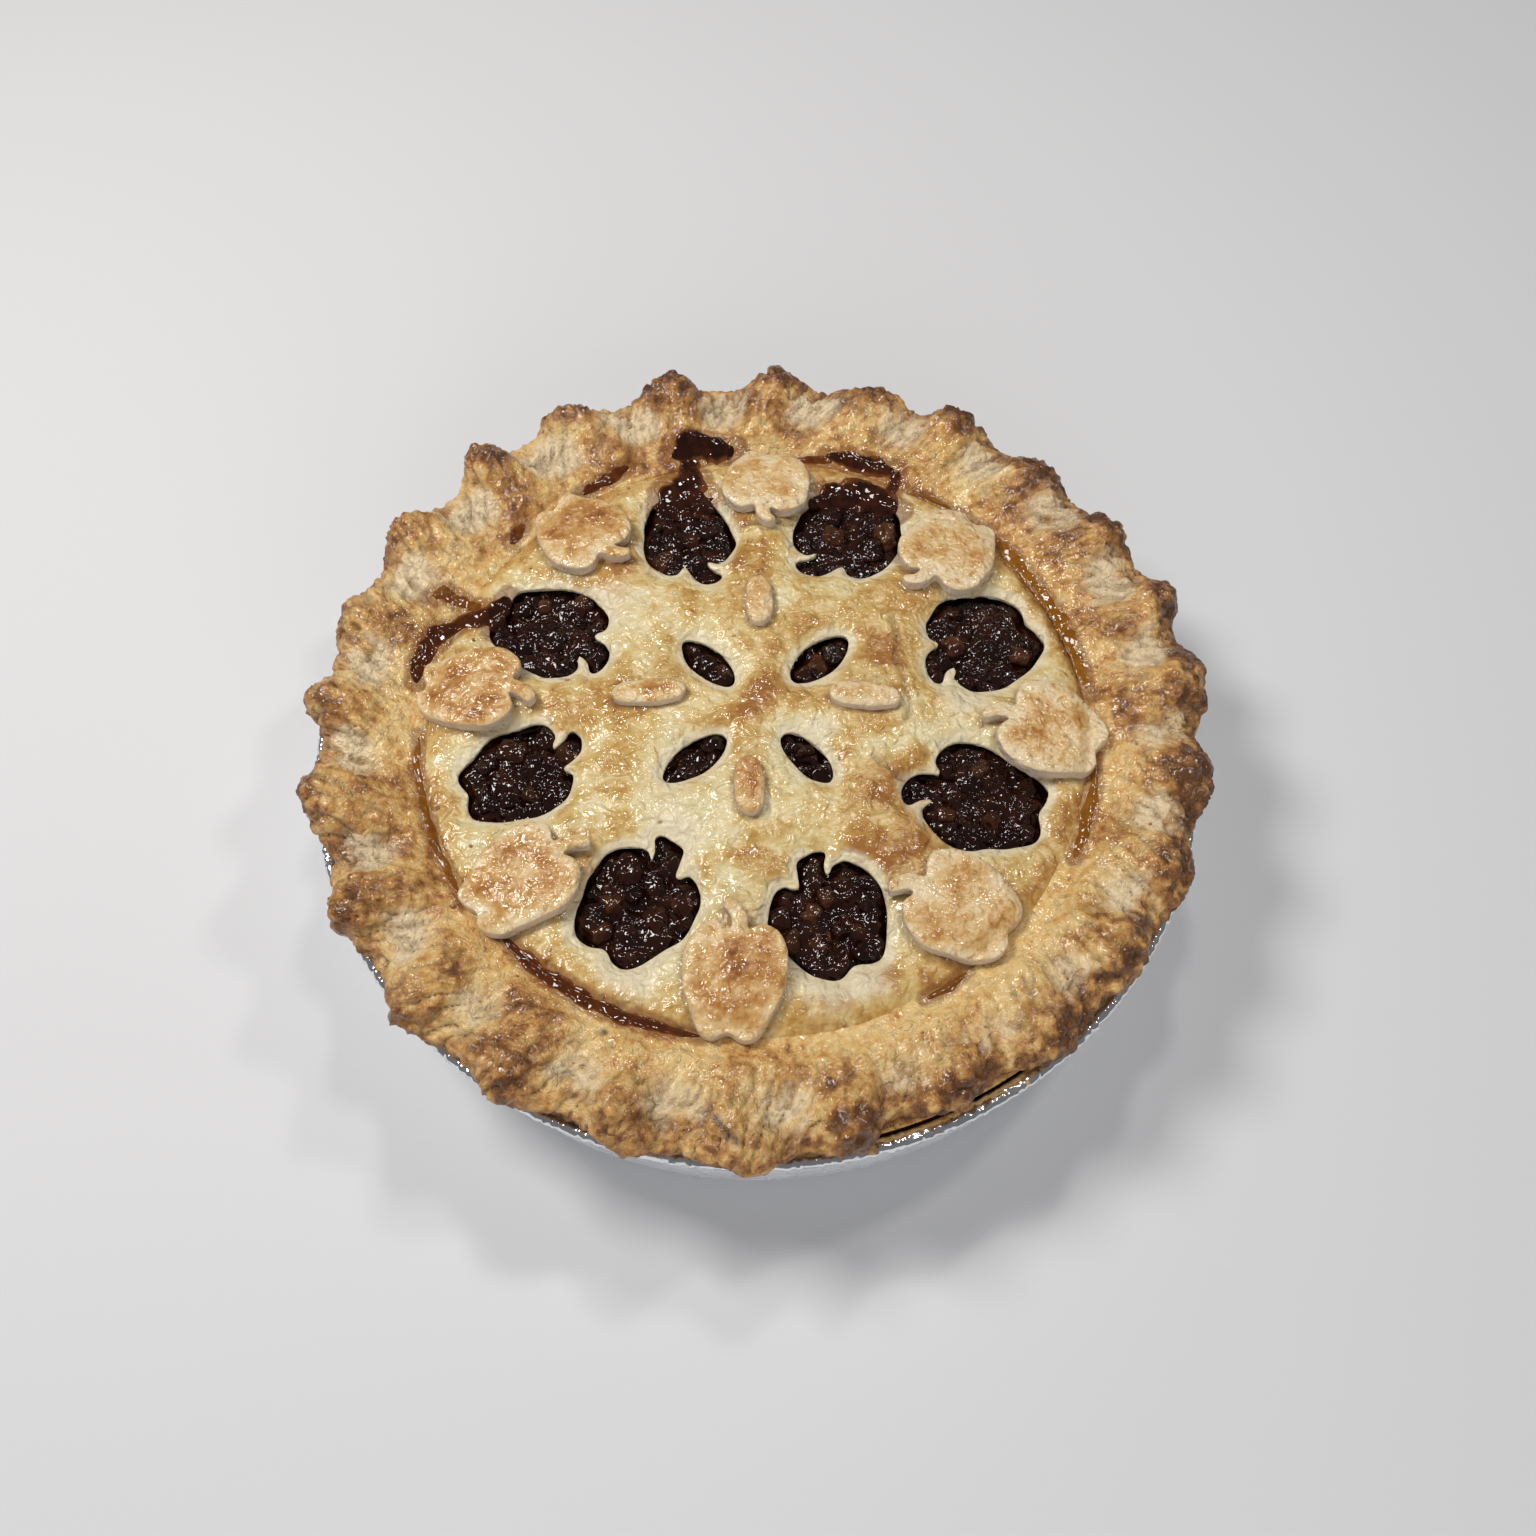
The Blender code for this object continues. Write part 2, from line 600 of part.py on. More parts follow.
def filling_core():
    """What fills the shell, with its top under the lid."""
    floor = TIN_WALL + 2 * CLEARANCE + SHELL_BASE_THICKNESS
    low_radius = shell_floor_radius(floor) - FILLING_FLOOR_GAP
    top_radius = RIM_INNER_RADIUS - FILLING_TOP_GAP
    profile = [(0.0, 0.0), *((top_radius * share, 0.0) for share in FILLING_RINGS)]
    bm = spin_profile(profile, FILLING_SEGMENTS)
    for vert in bm.verts:
        vert.co.z = filling_level(vert.co.x, vert.co.y)
    edge = [item for item in bm.edges if item.is_boundary]
    made = bmesh.ops.extrude_edge_only(bm, edges=edge)
    lowered = [item for item in made["geom"] if isinstance(item, bmesh.types.BMVert)]
    for vert in lowered:
        vert.co.x *= low_radius / top_radius
        vert.co.y *= low_radius / top_radius
        vert.co.z = floor
    bottom = [item for item in made["geom"] if isinstance(item, bmesh.types.BMEdge)]
    bmesh.ops.contextual_create(bm, geom=bottom)
    bmesh.ops.triangulate(bm, faces=bm.faces)
    return add_object("filling", bm, "filling")


def build_filling():
    core = filling_core()
    chunks = bpy.data.collections.new("chunks")
    bpy.context.scene.collection.children.link(chunks)
    draw = random.Random(37)
    for outline in window_outlines():
        wanted = CHUNKS_PER_WINDOW if len(outline) > LEAF_POINTS else CHUNKS_PER_LEAF
        for spot, radius in chunk_spots(outline, wanted, draw):
            build_chunk(spot, radius, draw, chunks)
    union = core.modifiers.new("chunks", "BOOLEAN")
    union.operand_type = "COLLECTION"
    union.collection = chunks
    union.operation = "UNION"
    union.solver = "MANIFOLD"
    bpy.context.view_layer.objects.active = core
    bpy.ops.object.modifier_apply(modifier=union.name)
    for obj in list(chunks.objects):
        bpy.data.objects.remove(obj)
    bpy.data.collections.remove(chunks)
    return core


def main():
    clear_scene()
    build_tin()
    build_shell()
    build_filling()
    build_lid()
    build_decorations()


main()
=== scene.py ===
import math
import random
from types import SimpleNamespace

import bmesh
import bpy
import numpy as np
from mathutils import Matrix, Vector, noise
from mathutils.bvhtree import BVHTree


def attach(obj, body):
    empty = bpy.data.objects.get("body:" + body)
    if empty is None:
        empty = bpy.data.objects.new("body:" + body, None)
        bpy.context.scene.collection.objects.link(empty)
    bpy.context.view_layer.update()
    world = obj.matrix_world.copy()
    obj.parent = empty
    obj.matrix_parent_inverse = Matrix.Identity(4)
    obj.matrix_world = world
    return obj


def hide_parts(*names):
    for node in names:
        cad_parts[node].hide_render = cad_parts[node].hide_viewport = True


# The looks of an apple pie in its foil tin. Sizes are in millimetres until a piece is finished.

mm = 0.001
weldGap = 0.01  # points nearer than this are one
axisGap = 0.1  # points nearer than this to the upright axis are the middle

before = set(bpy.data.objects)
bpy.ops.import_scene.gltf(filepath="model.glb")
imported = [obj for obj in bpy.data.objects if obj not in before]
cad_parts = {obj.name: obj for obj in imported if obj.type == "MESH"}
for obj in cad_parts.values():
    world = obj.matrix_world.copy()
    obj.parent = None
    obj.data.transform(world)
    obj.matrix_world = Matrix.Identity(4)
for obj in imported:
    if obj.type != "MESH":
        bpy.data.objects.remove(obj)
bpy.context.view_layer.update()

# shared sizes of the pie, the same as the solids have
pie = {
    "tinHeight": 36.0,
    "tinRim": 111.5,
    "tinBase": 106.4,
    "tinWall": 0.7,
    "flange": 3.4,
    "lidRadius": 84.2,
    "lidThickness": 3.6,
    "lidEdge": 40.8,
    "lidDome": 5.0,
    "lidEdgeDrop": 1.4,
    "fillingDrop": 4.6,
    "slack": 0.4,  # between the crust and the tin
}


# mesh helpers


def newPiece(name, bm):
    bmesh.ops.recalc_face_normals(bm, faces=bm.faces)
    mesh = bpy.data.meshes.new(name)
    bm.to_mesh(mesh)
    bm.free()
    piece = bpy.data.objects.new(name, mesh)
    bpy.context.scene.collection.objects.link(piece)
    return piece


def readPoints(piece):
    flat = np.empty(len(piece.data.vertices) * 3, np.float32)
    piece.data.vertices.foreach_get("co", flat)
    return flat.reshape(-1, 3).astype(float)


def writePoints(piece, points):
    piece.data.vertices.foreach_set("co", points.astype(np.float32).ravel())
    piece.data.update()


def readNormals(piece):
    flat = np.empty(len(piece.data.vertices) * 3, np.float32)
    piece.data.vertex_normals.foreach_get("vector", flat)
    return flat.reshape(-1, 3).astype(float)


def paint(piece, **layers):  # values from 0 to 1 at every point, for the finishes to read
    for name, values in layers.items():
        layer = piece.data.attributes.new(name, "FLOAT", "POINT")
        layer.data.foreach_set("value", np.clip(values, 0, 1).astype(np.float32))


def awayFrom(points, across=0.0, along=0.0):  # how far from an upright line through the pie
    return np.hypot(points[:, 0] - across, points[:, 1] - along)


def spunRound(bm, spun, steps):  # a line of points turned once round the upright axis
    lines = [bm.edges.new(pair) for pair in zip(spun, spun[1:])]
    bmesh.ops.spin(
        bm, geom=spun + lines, cent=(0, 0, 0), axis=(0, 0, 1),
        angle=math.tau, steps=steps, use_merge=True,
    )


def weldMiddle(bm):
    middles = [v for v in bm.verts if math.hypot(v.co.x, v.co.y) < axisGap]
    bmesh.ops.remove_doubles(bm, verts=middles, dist=weldGap)


def applied(piece):  # the modifiers become mesh
    shown = piece.evaluated_get(bpy.context.evaluated_depsgraph_get())
    made = bpy.data.meshes.new_from_object(shown)
    piece.modifiers.clear()
    piece.data = made


def revoxel(piece, size, smoothing):  # an even mesh with soft edges
    remesh = piece.modifiers.new("even", "REMESH")
    remesh.mode = "VOXEL"
    remesh.voxel_size = size
    soften = piece.modifiers.new("soft", "SMOOTH")
    soften.factor = 0.5
    soften.iterations = smoothing
    applied(piece)


def finishPiece(piece, look, slot, *cadNodes):
    piece.data.transform(Matrix.Scale(mm, 4))
    piece.data.shade_smooth()
    piece.data.materials.clear()
    piece.data.materials.append(look)
    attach(piece, "root")
    if cadNodes:
        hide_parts(*cadNodes)
    print(f"{piece.name}: {len(piece.data.polygons)} faces")
    return piece


# shapes worked out over many points at once


def smoothStep(low, high, value):
    t = np.clip((value - low) / (high - low), 0, 1)
    return t * t * (3 - 2 * t)


def bell(value, centre, spread):
    return np.exp(-(((value - centre) / spread) ** 2))


def turnBetween(a, b):
    return (a - b + math.pi) % math.tau - math.pi


shuffled = np.random.default_rng(7).permutation(256)
slopes = np.random.default_rng(8).normal(size=(256, 3))
slopes /= np.linalg.norm(slopes, axis=1)[:, None]


def latticeHash(cell):
    mixedUp = shuffled[cell[:, 0] & 255]
    mixedUp = shuffled[(mixedUp + cell[:, 1]) & 255]
    return shuffled[(mixedUp + cell[:, 2]) & 255]


def smoothNoise(points):  # gradient noise, about -1 to 1
    cell = np.floor(points).astype(int)
    part = points - cell
    blend = part**3 * (part * (part * 6 - 15) + 10)
    total = np.zeros(len(points))
    for corner in np.ndindex(2, 2, 2):
        slope = slopes[latticeHash(cell + corner)]
        weight = np.prod(np.where(np.array(corner) == 1, blend, 1 - blend), axis=1)
        total += weight * np.sum(slope * (part - corner), axis=1)
    return total * 1.5


def grain(points, size, octaves=3, seed=0.0):  # noise with finer and finer parts
    scaled = np.asarray(points, float) / np.array(size) + np.array((17.3, 5.1, 9.7)) * seed
    return sum(smoothNoise(scaled * 2.0**k + 31.7 * k) * 0.5**k for k in range(octaves))


def cells(points, size, seed=0.0):  # distance to the nearest and to the next cell's middle
    scaled = np.asarray(points, float) / size + np.array((7.9, 3.3, 11.1)) * seed
    cell = np.floor(scaled).astype(int)
    first = np.full(len(scaled), 9.0)
    second = first.copy()
    for corner in np.ndindex(3, 3, 3):
        near = cell + np.array(corner) - 1
        middle = near + 0.5 + 0.28 * slopes[latticeHash(near)]
        gap = np.linalg.norm(scaled - middle, axis=1)
        second = np.minimum(second, np.maximum(gap, first))
        first = np.minimum(first, gap)
    return first, second


def lineDistance(points, line):  # to a chain of points in the plan
    nearest = np.full(len(points), 1e3)
    for start, end in zip(line, line[1:]):
        a = np.array(start[:2], float)
        along = np.array(end[:2], float) - a
        share = np.clip(((points[:, :2] - a) @ along) / (along @ along), 0, 1)
        gap = points[:, :2] - a - share[:, None] * along
        nearest = np.minimum(nearest, np.hypot(gap[:, 0], gap[:, 1]))
    return nearest


def insideOutline(points, outline):
    crossings = np.zeros(len(points), int)
    for a, b in zip(outline, outline[1:] + outline[:1]):
        if a[1] == b[1]:
            continue
        spans = (a[1] > points[:, 1]) != (b[1] > points[:, 1])
        reach = a[0] + (points[:, 1] - a[1]) * (b[0] - a[0]) / (b[1] - a[1])
        crossings += spans & (points[:, 0] < reach)
    return crossings % 2 == 1


def outlineDistance(points, outlines):  # above 0 outside every outline, below 0 inside one
    nearest = np.full(len(points), 1e3)
    for outline in outlines:
        middle = np.mean(outline, axis=0)
        reach = max(math.dist(p, middle) for p in outline) + 12
        close = awayFrom(points, *middle) < reach
        part = points[close]
        gap = lineDistance(part, list(outline) + [outline[0]])
        gap = np.where(insideOutline(part, outline), -gap, gap)
        nearest[close] = np.where(np.abs(gap) < np.abs(nearest[close]), gap, nearest[close])
    return nearest


def catmullRom(p0, p1, p2, p3, t):  # the smooth way from p1 to p2
    return 0.5 * (
        2 * p1 + (p2 - p0) * t
        + (2 * p0 - 5 * p1 + 4 * p2 - p3) * t**2
        + (3 * p1 - p0 - 3 * p2 + p3) * t**3
    )


def curved(outline, steps=5):  # a smooth closed line through the outline's points
    points = [np.array(p, float) for p in outline]
    made = []
    for k in range(len(points)):
        p0, p1, p2, p3 = (points[(k + i - 1) % len(points)] for i in range(4))
        for step in range(steps):
            made.append(tuple(catmullRom(p0, p1, p2, p3, step / steps)))
    return made


# shader helpers


class Wire:  # one socket of a material's nodes, which maths and other nodes read from
    def __init__(self, tree, socket):
        self.tree = tree
        self.socket = socket

    def node(self, kind, settings=None, values=None, output=0):
        made = self.tree.nodes.new(kind)
        for name, value in (settings or {}).items():
            if name == "stops":
                ramp = made.color_ramp
                while len(ramp.elements) < len(value):
                    ramp.elements.new(0.5)
                for element, (at, colour) in zip(ramp.elements, value):
                    element.position = at
                    element.color = (*colour, 1)
            else:
                setattr(made, name, value)
        for name, value in (values or {}).items():
            if isinstance(value, Wire):
                self.tree.links.new(value.socket, made.inputs[name])
            else:
                made.inputs[name].default_value = value
        return Wire(self.tree, made.outputs[output])

    def maths(self, operation, first, second):
        return self.node("ShaderNodeMath", {"operation": operation}, {0: first, 1: second})

    def __add__(self, other):
        return self.maths("ADD", self, other)

    def __radd__(self, other):
        return self.maths("ADD", other, self)

    def __sub__(self, other):
        return self.maths("SUBTRACT", self, other)

    def __rsub__(self, other):
        return self.maths("SUBTRACT", other, self)

    def __mul__(self, other):
        return self.maths("MULTIPLY", self, other)

    def __rmul__(self, other):
        return self.maths("MULTIPLY", other, self)


def startLook(name, **fixed):
    look = bpy.data.materials.new(name)
    look.use_nodes = True
    tree = look.node_tree
    shader = tree.nodes["Principled BSDF"]
    for socket, value in fixed.items():
        shader.inputs[socket.replace("_", " ")].default_value = value
    coords = tree.nodes.new("ShaderNodeTexCoord")
    place = Wire(tree, coords.outputs["Object"])
    place = place.node("ShaderNodeVectorMath", {"operation": "SCALE"}, {0: place, "Scale": 1 / mm})
    return look, shader, place


def plug(wire, shader, socket):
    wire.tree.links.new(wire.socket, shader.inputs[socket])


def attribute(place, name):
    return place.node("ShaderNodeAttribute", {"attribute_name": name}, output=2)


def attributes(place, *names):
    return [attribute(place, name) for name in names]


def speckle(place, size, detail=3.0, rough=0.5, distortion=0.0):  # noise from 0 to 1, size in mm
    values = {
        "Vector": place, "Scale": 1 / size, "Detail": detail,
        "Roughness": rough, "Distortion": distortion,
    }
    return place.node("ShaderNodeTexNoise", None, values)


def ramped(tone, stops):
    return tone.node("ShaderNodeValToRGB", {"stops": stops}, {0: tone})


def between(wire, low, high, start=0.0, end=1.0):
    settings = {"interpolation_type": "SMOOTHSTEP"}
    values = {"Value": wire, "From Min": low, "From Max": high, "To Min": start, "To Max": end}
    return wire.node("ShaderNodeMapRange", settings, values)


def mixed(mask, first, second):
    settings = {"data_type": "RGBA", "clamp_factor": True}
    first, second = (c if isinstance(c, Wire) else (*c, 1) for c in (first, second))
    return mask.node("ShaderNodeMix", settings, {0: mask, 6: first, 7: second}, output=2)


def bumped(height, distance, strength=1.0, under=None):
    values = {"Height": height, "Distance": distance * mm, "Strength": strength}
    if under is not None:
        values["Normal"] = under
    return height.node("ShaderNodeBump", None, values)


# camera, light and floor

view = {
    "target": (2.7, -12.0, 36.0),
    "distance": 370.0,
    "elevation": 61.5,
    "roll": -0.7,
    "lens": 34.69,
    "sensor": 36.0,
    "nearest": 0.01,
}

elevation = math.radians(view["elevation"])
forward = Vector((0, math.cos(elevation), -math.sin(elevation)))
sideways = Vector((1, 0, 0))
upwards = sideways.cross(forward)
roll = math.radians(view["roll"])
cameraRight = sideways * math.cos(roll) + upwards * math.sin(roll)
cameraUp = upwards * math.cos(roll) - sideways * math.sin(roll)
eye = (Vector(view["target"]) - forward * view["distance"]) * mm
cameraData = bpy.data.cameras.new("camera")
cameraData.lens = view["lens"]
cameraData.sensor_width = view["sensor"]
cameraData.clip_start = view["nearest"]
camera = bpy.data.objects.new("camera", cameraData)
bpy.context.scene.collection.objects.link(camera)
turned = Matrix((cameraRight, cameraUp, -forward)).transposed().to_4x4()
camera.matrix_world = Matrix.Translation(eye) @ turned
bpy.context.scene.camera = camera

lamps = {  # place and aim in metres, size in metres, watts, colour, and whether gloss shows it
    "softbox": {
        "at": (-0.48, 0.20, 0.78), "size": 0.25, "watts": 4.8, "colour": (1.0, 0.98, 0.95), "gloss": True,
    },
    "spark": {
        "at": (0.08, 0.50, 0.95), "size": 0.10, "watts": 1.55, "colour": (1.0, 0.99, 0.97), "gloss": True,
    },
    "glint": {
        "at": (0.50, 0.26, 0.86), "size": 0.10, "watts": 1.3, "colour": (1.0, 0.99, 0.97), "gloss": True,
    },
    "fill": {
        "at": (0.10, -0.92, 0.42), "size": 0.80, "watts": 4.4, "colour": (0.97, 0.98, 1.0), "gloss": False,
    },
}
room = {
    "aim": (0, 0, 0.03),  # where the lamps look, in metres
    "glow": (0.98, 0.98, 1.0),
    "glowStrength": 0.13,
    "floor": (0.74, 0.74, 0.75),
    "floorRoughness": 0.7,
    "floorHalf": 2500.0,
}
for lampName, lamp in lamps.items():
    light = bpy.data.lights.new(lampName, "AREA")
    light.size = lamp["size"]
    light.energy = lamp["watts"]
    light.color = lamp["colour"]
    holder = bpy.data.objects.new(lampName, light)
    bpy.context.scene.collection.objects.link(holder)
    holder.location = lamp["at"]
    holder.rotation_euler = (Vector(room["aim"]) - holder.location).to_track_quat("-Z", "Y").to_euler()
    holder.visible_glossy = lamp["gloss"]

world = bpy.data.worlds.new("studio")
world.use_nodes = True
glow = world.node_tree.nodes["Background"]
glow.inputs["Color"].default_value = (*room["glow"], 1)
glow.inputs["Strength"].default_value = room["glowStrength"]
bpy.context.scene.world = world
bpy.context.scene.view_settings.view_transform = "Standard"

floorMesh = bmesh.new()
bmesh.ops.create_grid(floorMesh, x_segments=1, y_segments=1, size=room["floorHalf"])
floor = newPiece("floor", floorMesh)
floor.data.transform(Matrix.Scale(mm, 4))
floorLook = startLook("paleFloor", Base_Color=(*room["floor"], 1), Roughness=room["floorRoughness"])[0]
floor.data.materials.append(floorLook)
print("camera, light and floor are set")


# how the crust's pinched rim runs

crust = {
    "outer": 109.5,
    "crestRing": 102.0,
    "inner": 85.2,
    "crestHeight": 44.6,
    "innerHeight": 40.6,
    "flutes": 25,
    "phase": math.radians(4.4),
    "drift": math.radians(3.8),
    "lift": 4.6,
    "reach": 3.6,
    "pulledIn": 4.5,
    "pulledInAt": math.radians(-66),
    "pulledInSpread": math.radians(16),
    "stepsAround": 960,
    "rowsPerPart": (4, 5, 12, 8, 9, 9, 8, 4),
    "skirt": 82.6,  # the rim runs in over the lid's edge as far as this
    "lumps": 0.8,
    "knobs": 1.1,
    "scoops": 2.4,  # how deep the fingers have pressed between the ridges
    "wrinkles": 0.42,
    "crags": 0.46,
    "blisters": 0.45,
    "creases": 1.4,
    "bare": ((42.0, -74.0, 9.0), (57.0, -66.0, 7.0), (58.0, 68.0, 8.0), (24.0, -87.0, 7.0)),
    "floorRing": 60.0,
    "corner": 3.3,
    "hollow": ((82.8, 39.0), (85.1, 38.0), (86.4, 5.1), (0.0, 5.1)),  # radius and height, from the lid down
    "lean": math.radians(2.6),  # how far the pinches lean, as a thumb leaves them
    "toastedSide": math.radians(-38),
    # the bearing where the rim's painted shade is deepest
    "shadySide": math.radians(55),
    "marks": (  # fruit juice and a burnt speck, as lines in the plan and their half widths
        (((-9.7, -102.4), (-7.4, -105.5), (-5.0, -107.6)), 0.9),
        (((-34.8, -81.9), (-34.4, -82.1)), 0.6),
        (((-108.6, 3.4), (-108.9, 4.4)), 0.9),
    ),
    "baked": (  # colours, from hardly baked to burnt
        (0.0, (0.83, 0.585, 0.255)),
        (0.25, (0.71, 0.425, 0.145)),
        (0.48, (0.53, 0.262, 0.079)),
        (0.74, (0.29, 0.122, 0.037)),
        (1.0, (0.12, 0.047, 0.018)),
    ),
    "underside": {"browned": 0.3},
    "flour": (0.79, 0.635, 0.405),
    "stain": (0.20, 0.062, 0.017),
    # colour of the painted shade in the rim's crevices
    "creviceShade": (0.13, 0.06, 0.026),
    "juice": (0.055, 0.022, 0.030),
}


def fluteRows():
    draw = random.Random(11)
    step = math.tau / crust["flutes"]
    rows = []
    for k in range(crust["flutes"]):
        at = crust["phase"] - step * k + crust["drift"] * math.sin(step * (k - 2))
        lift = crust["lift"] * draw.uniform(0.65, 1.3)
        reach = crust["reach"] * draw.uniform(0.5, 1.25)
        rows.append((at, lift, reach, math.radians(draw.uniform(3.2, 4.6))))
    return rows


flutes = fluteRows()


def ridge(angle, which):  # 1 is how much the flutes lift, 2 is how far they reach out
    total = np.zeros(len(angle))
    for row in flutes:
        rounded = bell(turnBetween(angle, row[0]), 0, row[3])
        total += row[which] * rounded * (1.45 - 0.45 * rounded)
    return total


def rimKnots(angle):  # the rim's cut at each bearing, from the outer lip in to the lid
    drawnBack = crust["pulledIn"] * bell(turnBetween(angle, crust["pulledInAt"]), 0, crust["pulledInSpread"])
    wander = 0.7 * np.sin(3 * angle + 0.6) + 0.5 * np.sin(7 * angle)
    lip = crust["outer"] + wander + ridge(angle, 2) - drawnBack
    lift = ridge(angle, 1)
    crest = crust["crestHeight"] + 0.8 * np.sin(2 * angle + 1.0) + lift * 0.75
    shoulder = crust["crestRing"] + (lip - crust["outer"]) * 0.6
    seat = np.full_like(lip, pie["tinHeight"] + pie["slack"])
    ring = np.full_like(lip, crust["crestRing"])
    edge = np.full_like(lip, crust["inner"])
    ledge = np.full_like(lip, crust["innerHeight"])
    cut = [
        (lip - 1.2, seat + 0.1),
        (lip, seat + 1.8 + 0.3 * lift),
        (lip - 0.6, seat + 4.0 + 0.9 * lift),
        (shoulder + 2.6, crest - 1.2 + 0.35 * lift),
        (shoulder - 1.6, crest),
        (ring - 6.0, crest - 1.0 - 0.25 * lift),
        (ring - 11.0, ledge + 2.2 + 0.25 * lift),
        (edge + 2.0, ledge + 0.5),
        (np.full_like(lip, crust["skirt"]), ledge - 0.75),
    ]
    return np.array([np.stack(knot, axis=-1) for knot in cut]).transpose(1, 0, 2)


def throughKnots(knots, along):
    start = np.clip(np.floor(along).astype(int), 0, knots.shape[1] - 2)
    t = (along - start)[:, None]
    rows = np.arange(len(along))
    p0 = knots[rows, np.maximum(start - 1, 0)]
    p1 = knots[rows, start]
    p2 = knots[rows, start + 1]
    p3 = knots[rows, np.minimum(start + 2, knots.shape[1] - 1)]
    return catmullRom(p0, p1, p2, p3, t)


def rimHeight(points):
    angle = np.arctan2(points[:, 1], points[:, 0])
    radius = awayFrom(points)
    knots = rimKnots(angle)
    height = np.zeros(len(points))
    for k in range(3, knots.shape[1] - 1):
        outer, inner = knots[:, k], knots[:, k + 1]
        share = (radius - inner[:, 0]) / (outer[:, 0] - inner[:, 0])
        here = (share >= 0) & (share <= 1)
        height = np.where(here, inner[:, 1] + (outer[:, 1] - inner[:, 1]) * share, height)
    return height


def lidTop(points):
    x, y = points[:, 0], points[:, 1]
    radius = np.hypot(x, y)
    dome = pie["lidDome"] * (1 - (radius / pie["lidRadius"]) ** 2)
    edge = pie["lidEdgeDrop"] * smoothStep(pie["lidRadius"] - 6, pie["lidRadius"], radius)
    swell = 0.35 * np.sin(x / 11 + 0.4) * np.sin(y / 13 + 1.1)
    return pie["lidEdge"] + dome - edge + swell


# the one cutter's outline, and where it was used

cutter = {
    "halfWidth": 12.6,
    "top": 11.0,
    "bottom": -14.5,
    "notch": 1.3,
    "stemFoot": 0.84,
    "stemLength": 6.5,
    "stemHalf": 2.0,
    "stemLean": 2.6,
    "side": (
        (0.28, -1.00), (0.56, -0.92), (0.80, -0.58), (0.95, -0.22), (1.00, 0.18),
        (0.93, 0.58), (0.72, 0.90), (0.46, 1.00), (0.24, 0.90),
    ),
    "stem": (
        (1.00, 0.00, 0.00), (1.00, 0.35, 0.45), (1.15, 1.00, 0.85), (0.30, 1.00, 1.05),
        (-0.90, 1.00, 0.90), (-1.00, 0.35, 0.50), (-1.00, 0.00, 0.00),
    ),
}
windows = (  # distance out, bearing, turn, width, length, which way the stem leans
    (61.0, 66.0, -8, 1.12, 1.04, 1),
    (61.5, 20.5, 6, 1.14, 1.05, -1),
    (59.0, -24.0, 8, 1.10, 1.12, -1),
    (57.0, -73.0, 8, 1.08, 1.00, 1),
    (57.5, -119.0, -6, 1.06, 1.05, -1),
    (60.0, -165.0, 8, 0.98, 1.04, -1),
    (58.5, 153.5, -4, 1.08, 1.10, 1),
    (58.5, 108.0, -4, 0.92, 1.05, -1),
)
leafWindows = (  # across, along, turn, width, length
    (16.0, 15.0, 45, 1.12, 1.02),
    (-12.3, 14.6, 132, 0.95, 0.98),
    (-15.2, -13.2, 38, 1.02, 1.00),
    (12.4, -13.4, 131, 0.88, 0.92),
)
pastryApples = (
    (71.0, 87.5, -6, 0.95, 0.86, -1),
    (69.5, 43.0, 12, 1.00, 0.98, 1),
    (72.0, -5.0, -22, 1.02, 0.98, -1),
    (70.5, -49.0, 20, 1.02, 1.00, -1),
    (69.5, -94.5, -3, 0.95, 1.06, -1),
    (70.5, -141.0, 0, 0.98, 1.06, 1),
    (71.0, 174.0, 2, 0.92, 0.98, 1),
    (72.0, 129.5, 4, 0.95, 0.94, -1),
)
pips = (
    (1.0, 31.5, 90, 0.98, 0.88),
    (27.0, 2.4, -4, 1.00, 1.02),
    (-1.8, -22.6, 91, 1.00, 0.88),
    (-26.8, 4.2, 3, 0.95, 1.06),
)


def appleOutline(lean, stemWidth=1.0):
    right = [(0.0, cutter["bottom"] + cutter["notch"])]
    for across, up in cutter["side"]:
        reach = cutter["top"] if up > 0 else -cutter["bottom"]
        right.append((cutter["halfWidth"] * across, reach * up))
    right[-1] = (right[-1][0] * stemWidth, right[-1][1])
    left = [(-x, y) for x, y in reversed(right[1:])]
    stem = []
    for across, leaning, up in cutter["stem"]:
        foot = cutter["top"] * cutter["stemFoot"]
        middle = cutter["stemLean"] * leaning
        stem.append((middle + cutter["stemHalf"] * across * stemWidth, foot + cutter["stemLength"] * up))
    outline = right + stem + left
    return [(-x, y) for x, y in reversed(outline)] if lean < 0 else outline


def ovalOutline(halfLength, halfWidth, count, pointed):
    made = []
    for step in range(count):
        angle = math.tau * step / count
        taper = 1 - pointed * math.cos(angle) ** 2 * 0.45
        made.append((halfLength * math.cos(angle), halfWidth * math.sin(angle) * taper))
    return made


def uneven(outline, draw, amount):
    return [(x + draw.uniform(-1, 1) * amount, y + draw.uniform(-1, 1) * amount) for x, y in outline]


def laidAt(outline, across, along, turn):
    c, s = math.cos(turn), math.sin(turn)
    return [(across + c * x - s * y, along + s * x + c * y) for x, y in outline]


def placedApple(row, draw, stemWidth=1.0):
    out, bearing, turn, wide, long, lean = row
    bearing = math.radians(bearing)
    outline = uneven([(x * wide, y * long) for x, y in appleOutline(lean, stemWidth)], draw, 0.35)
    turned = bearing + math.pi / 2 + math.radians(turn)
    return curved(laidAt(outline, out * math.cos(bearing), out * math.sin(bearing), turned))


def placedOval(row, halfLength, halfWidth, count, pointed, draw):
    across, along, turn, wide, long = row
    outline = uneven(ovalOutline(halfLength * long, halfWidth * wide, count, pointed), draw, 0.2)
    return curved(laidAt(outline, across, along, math.radians(turn)), 4)


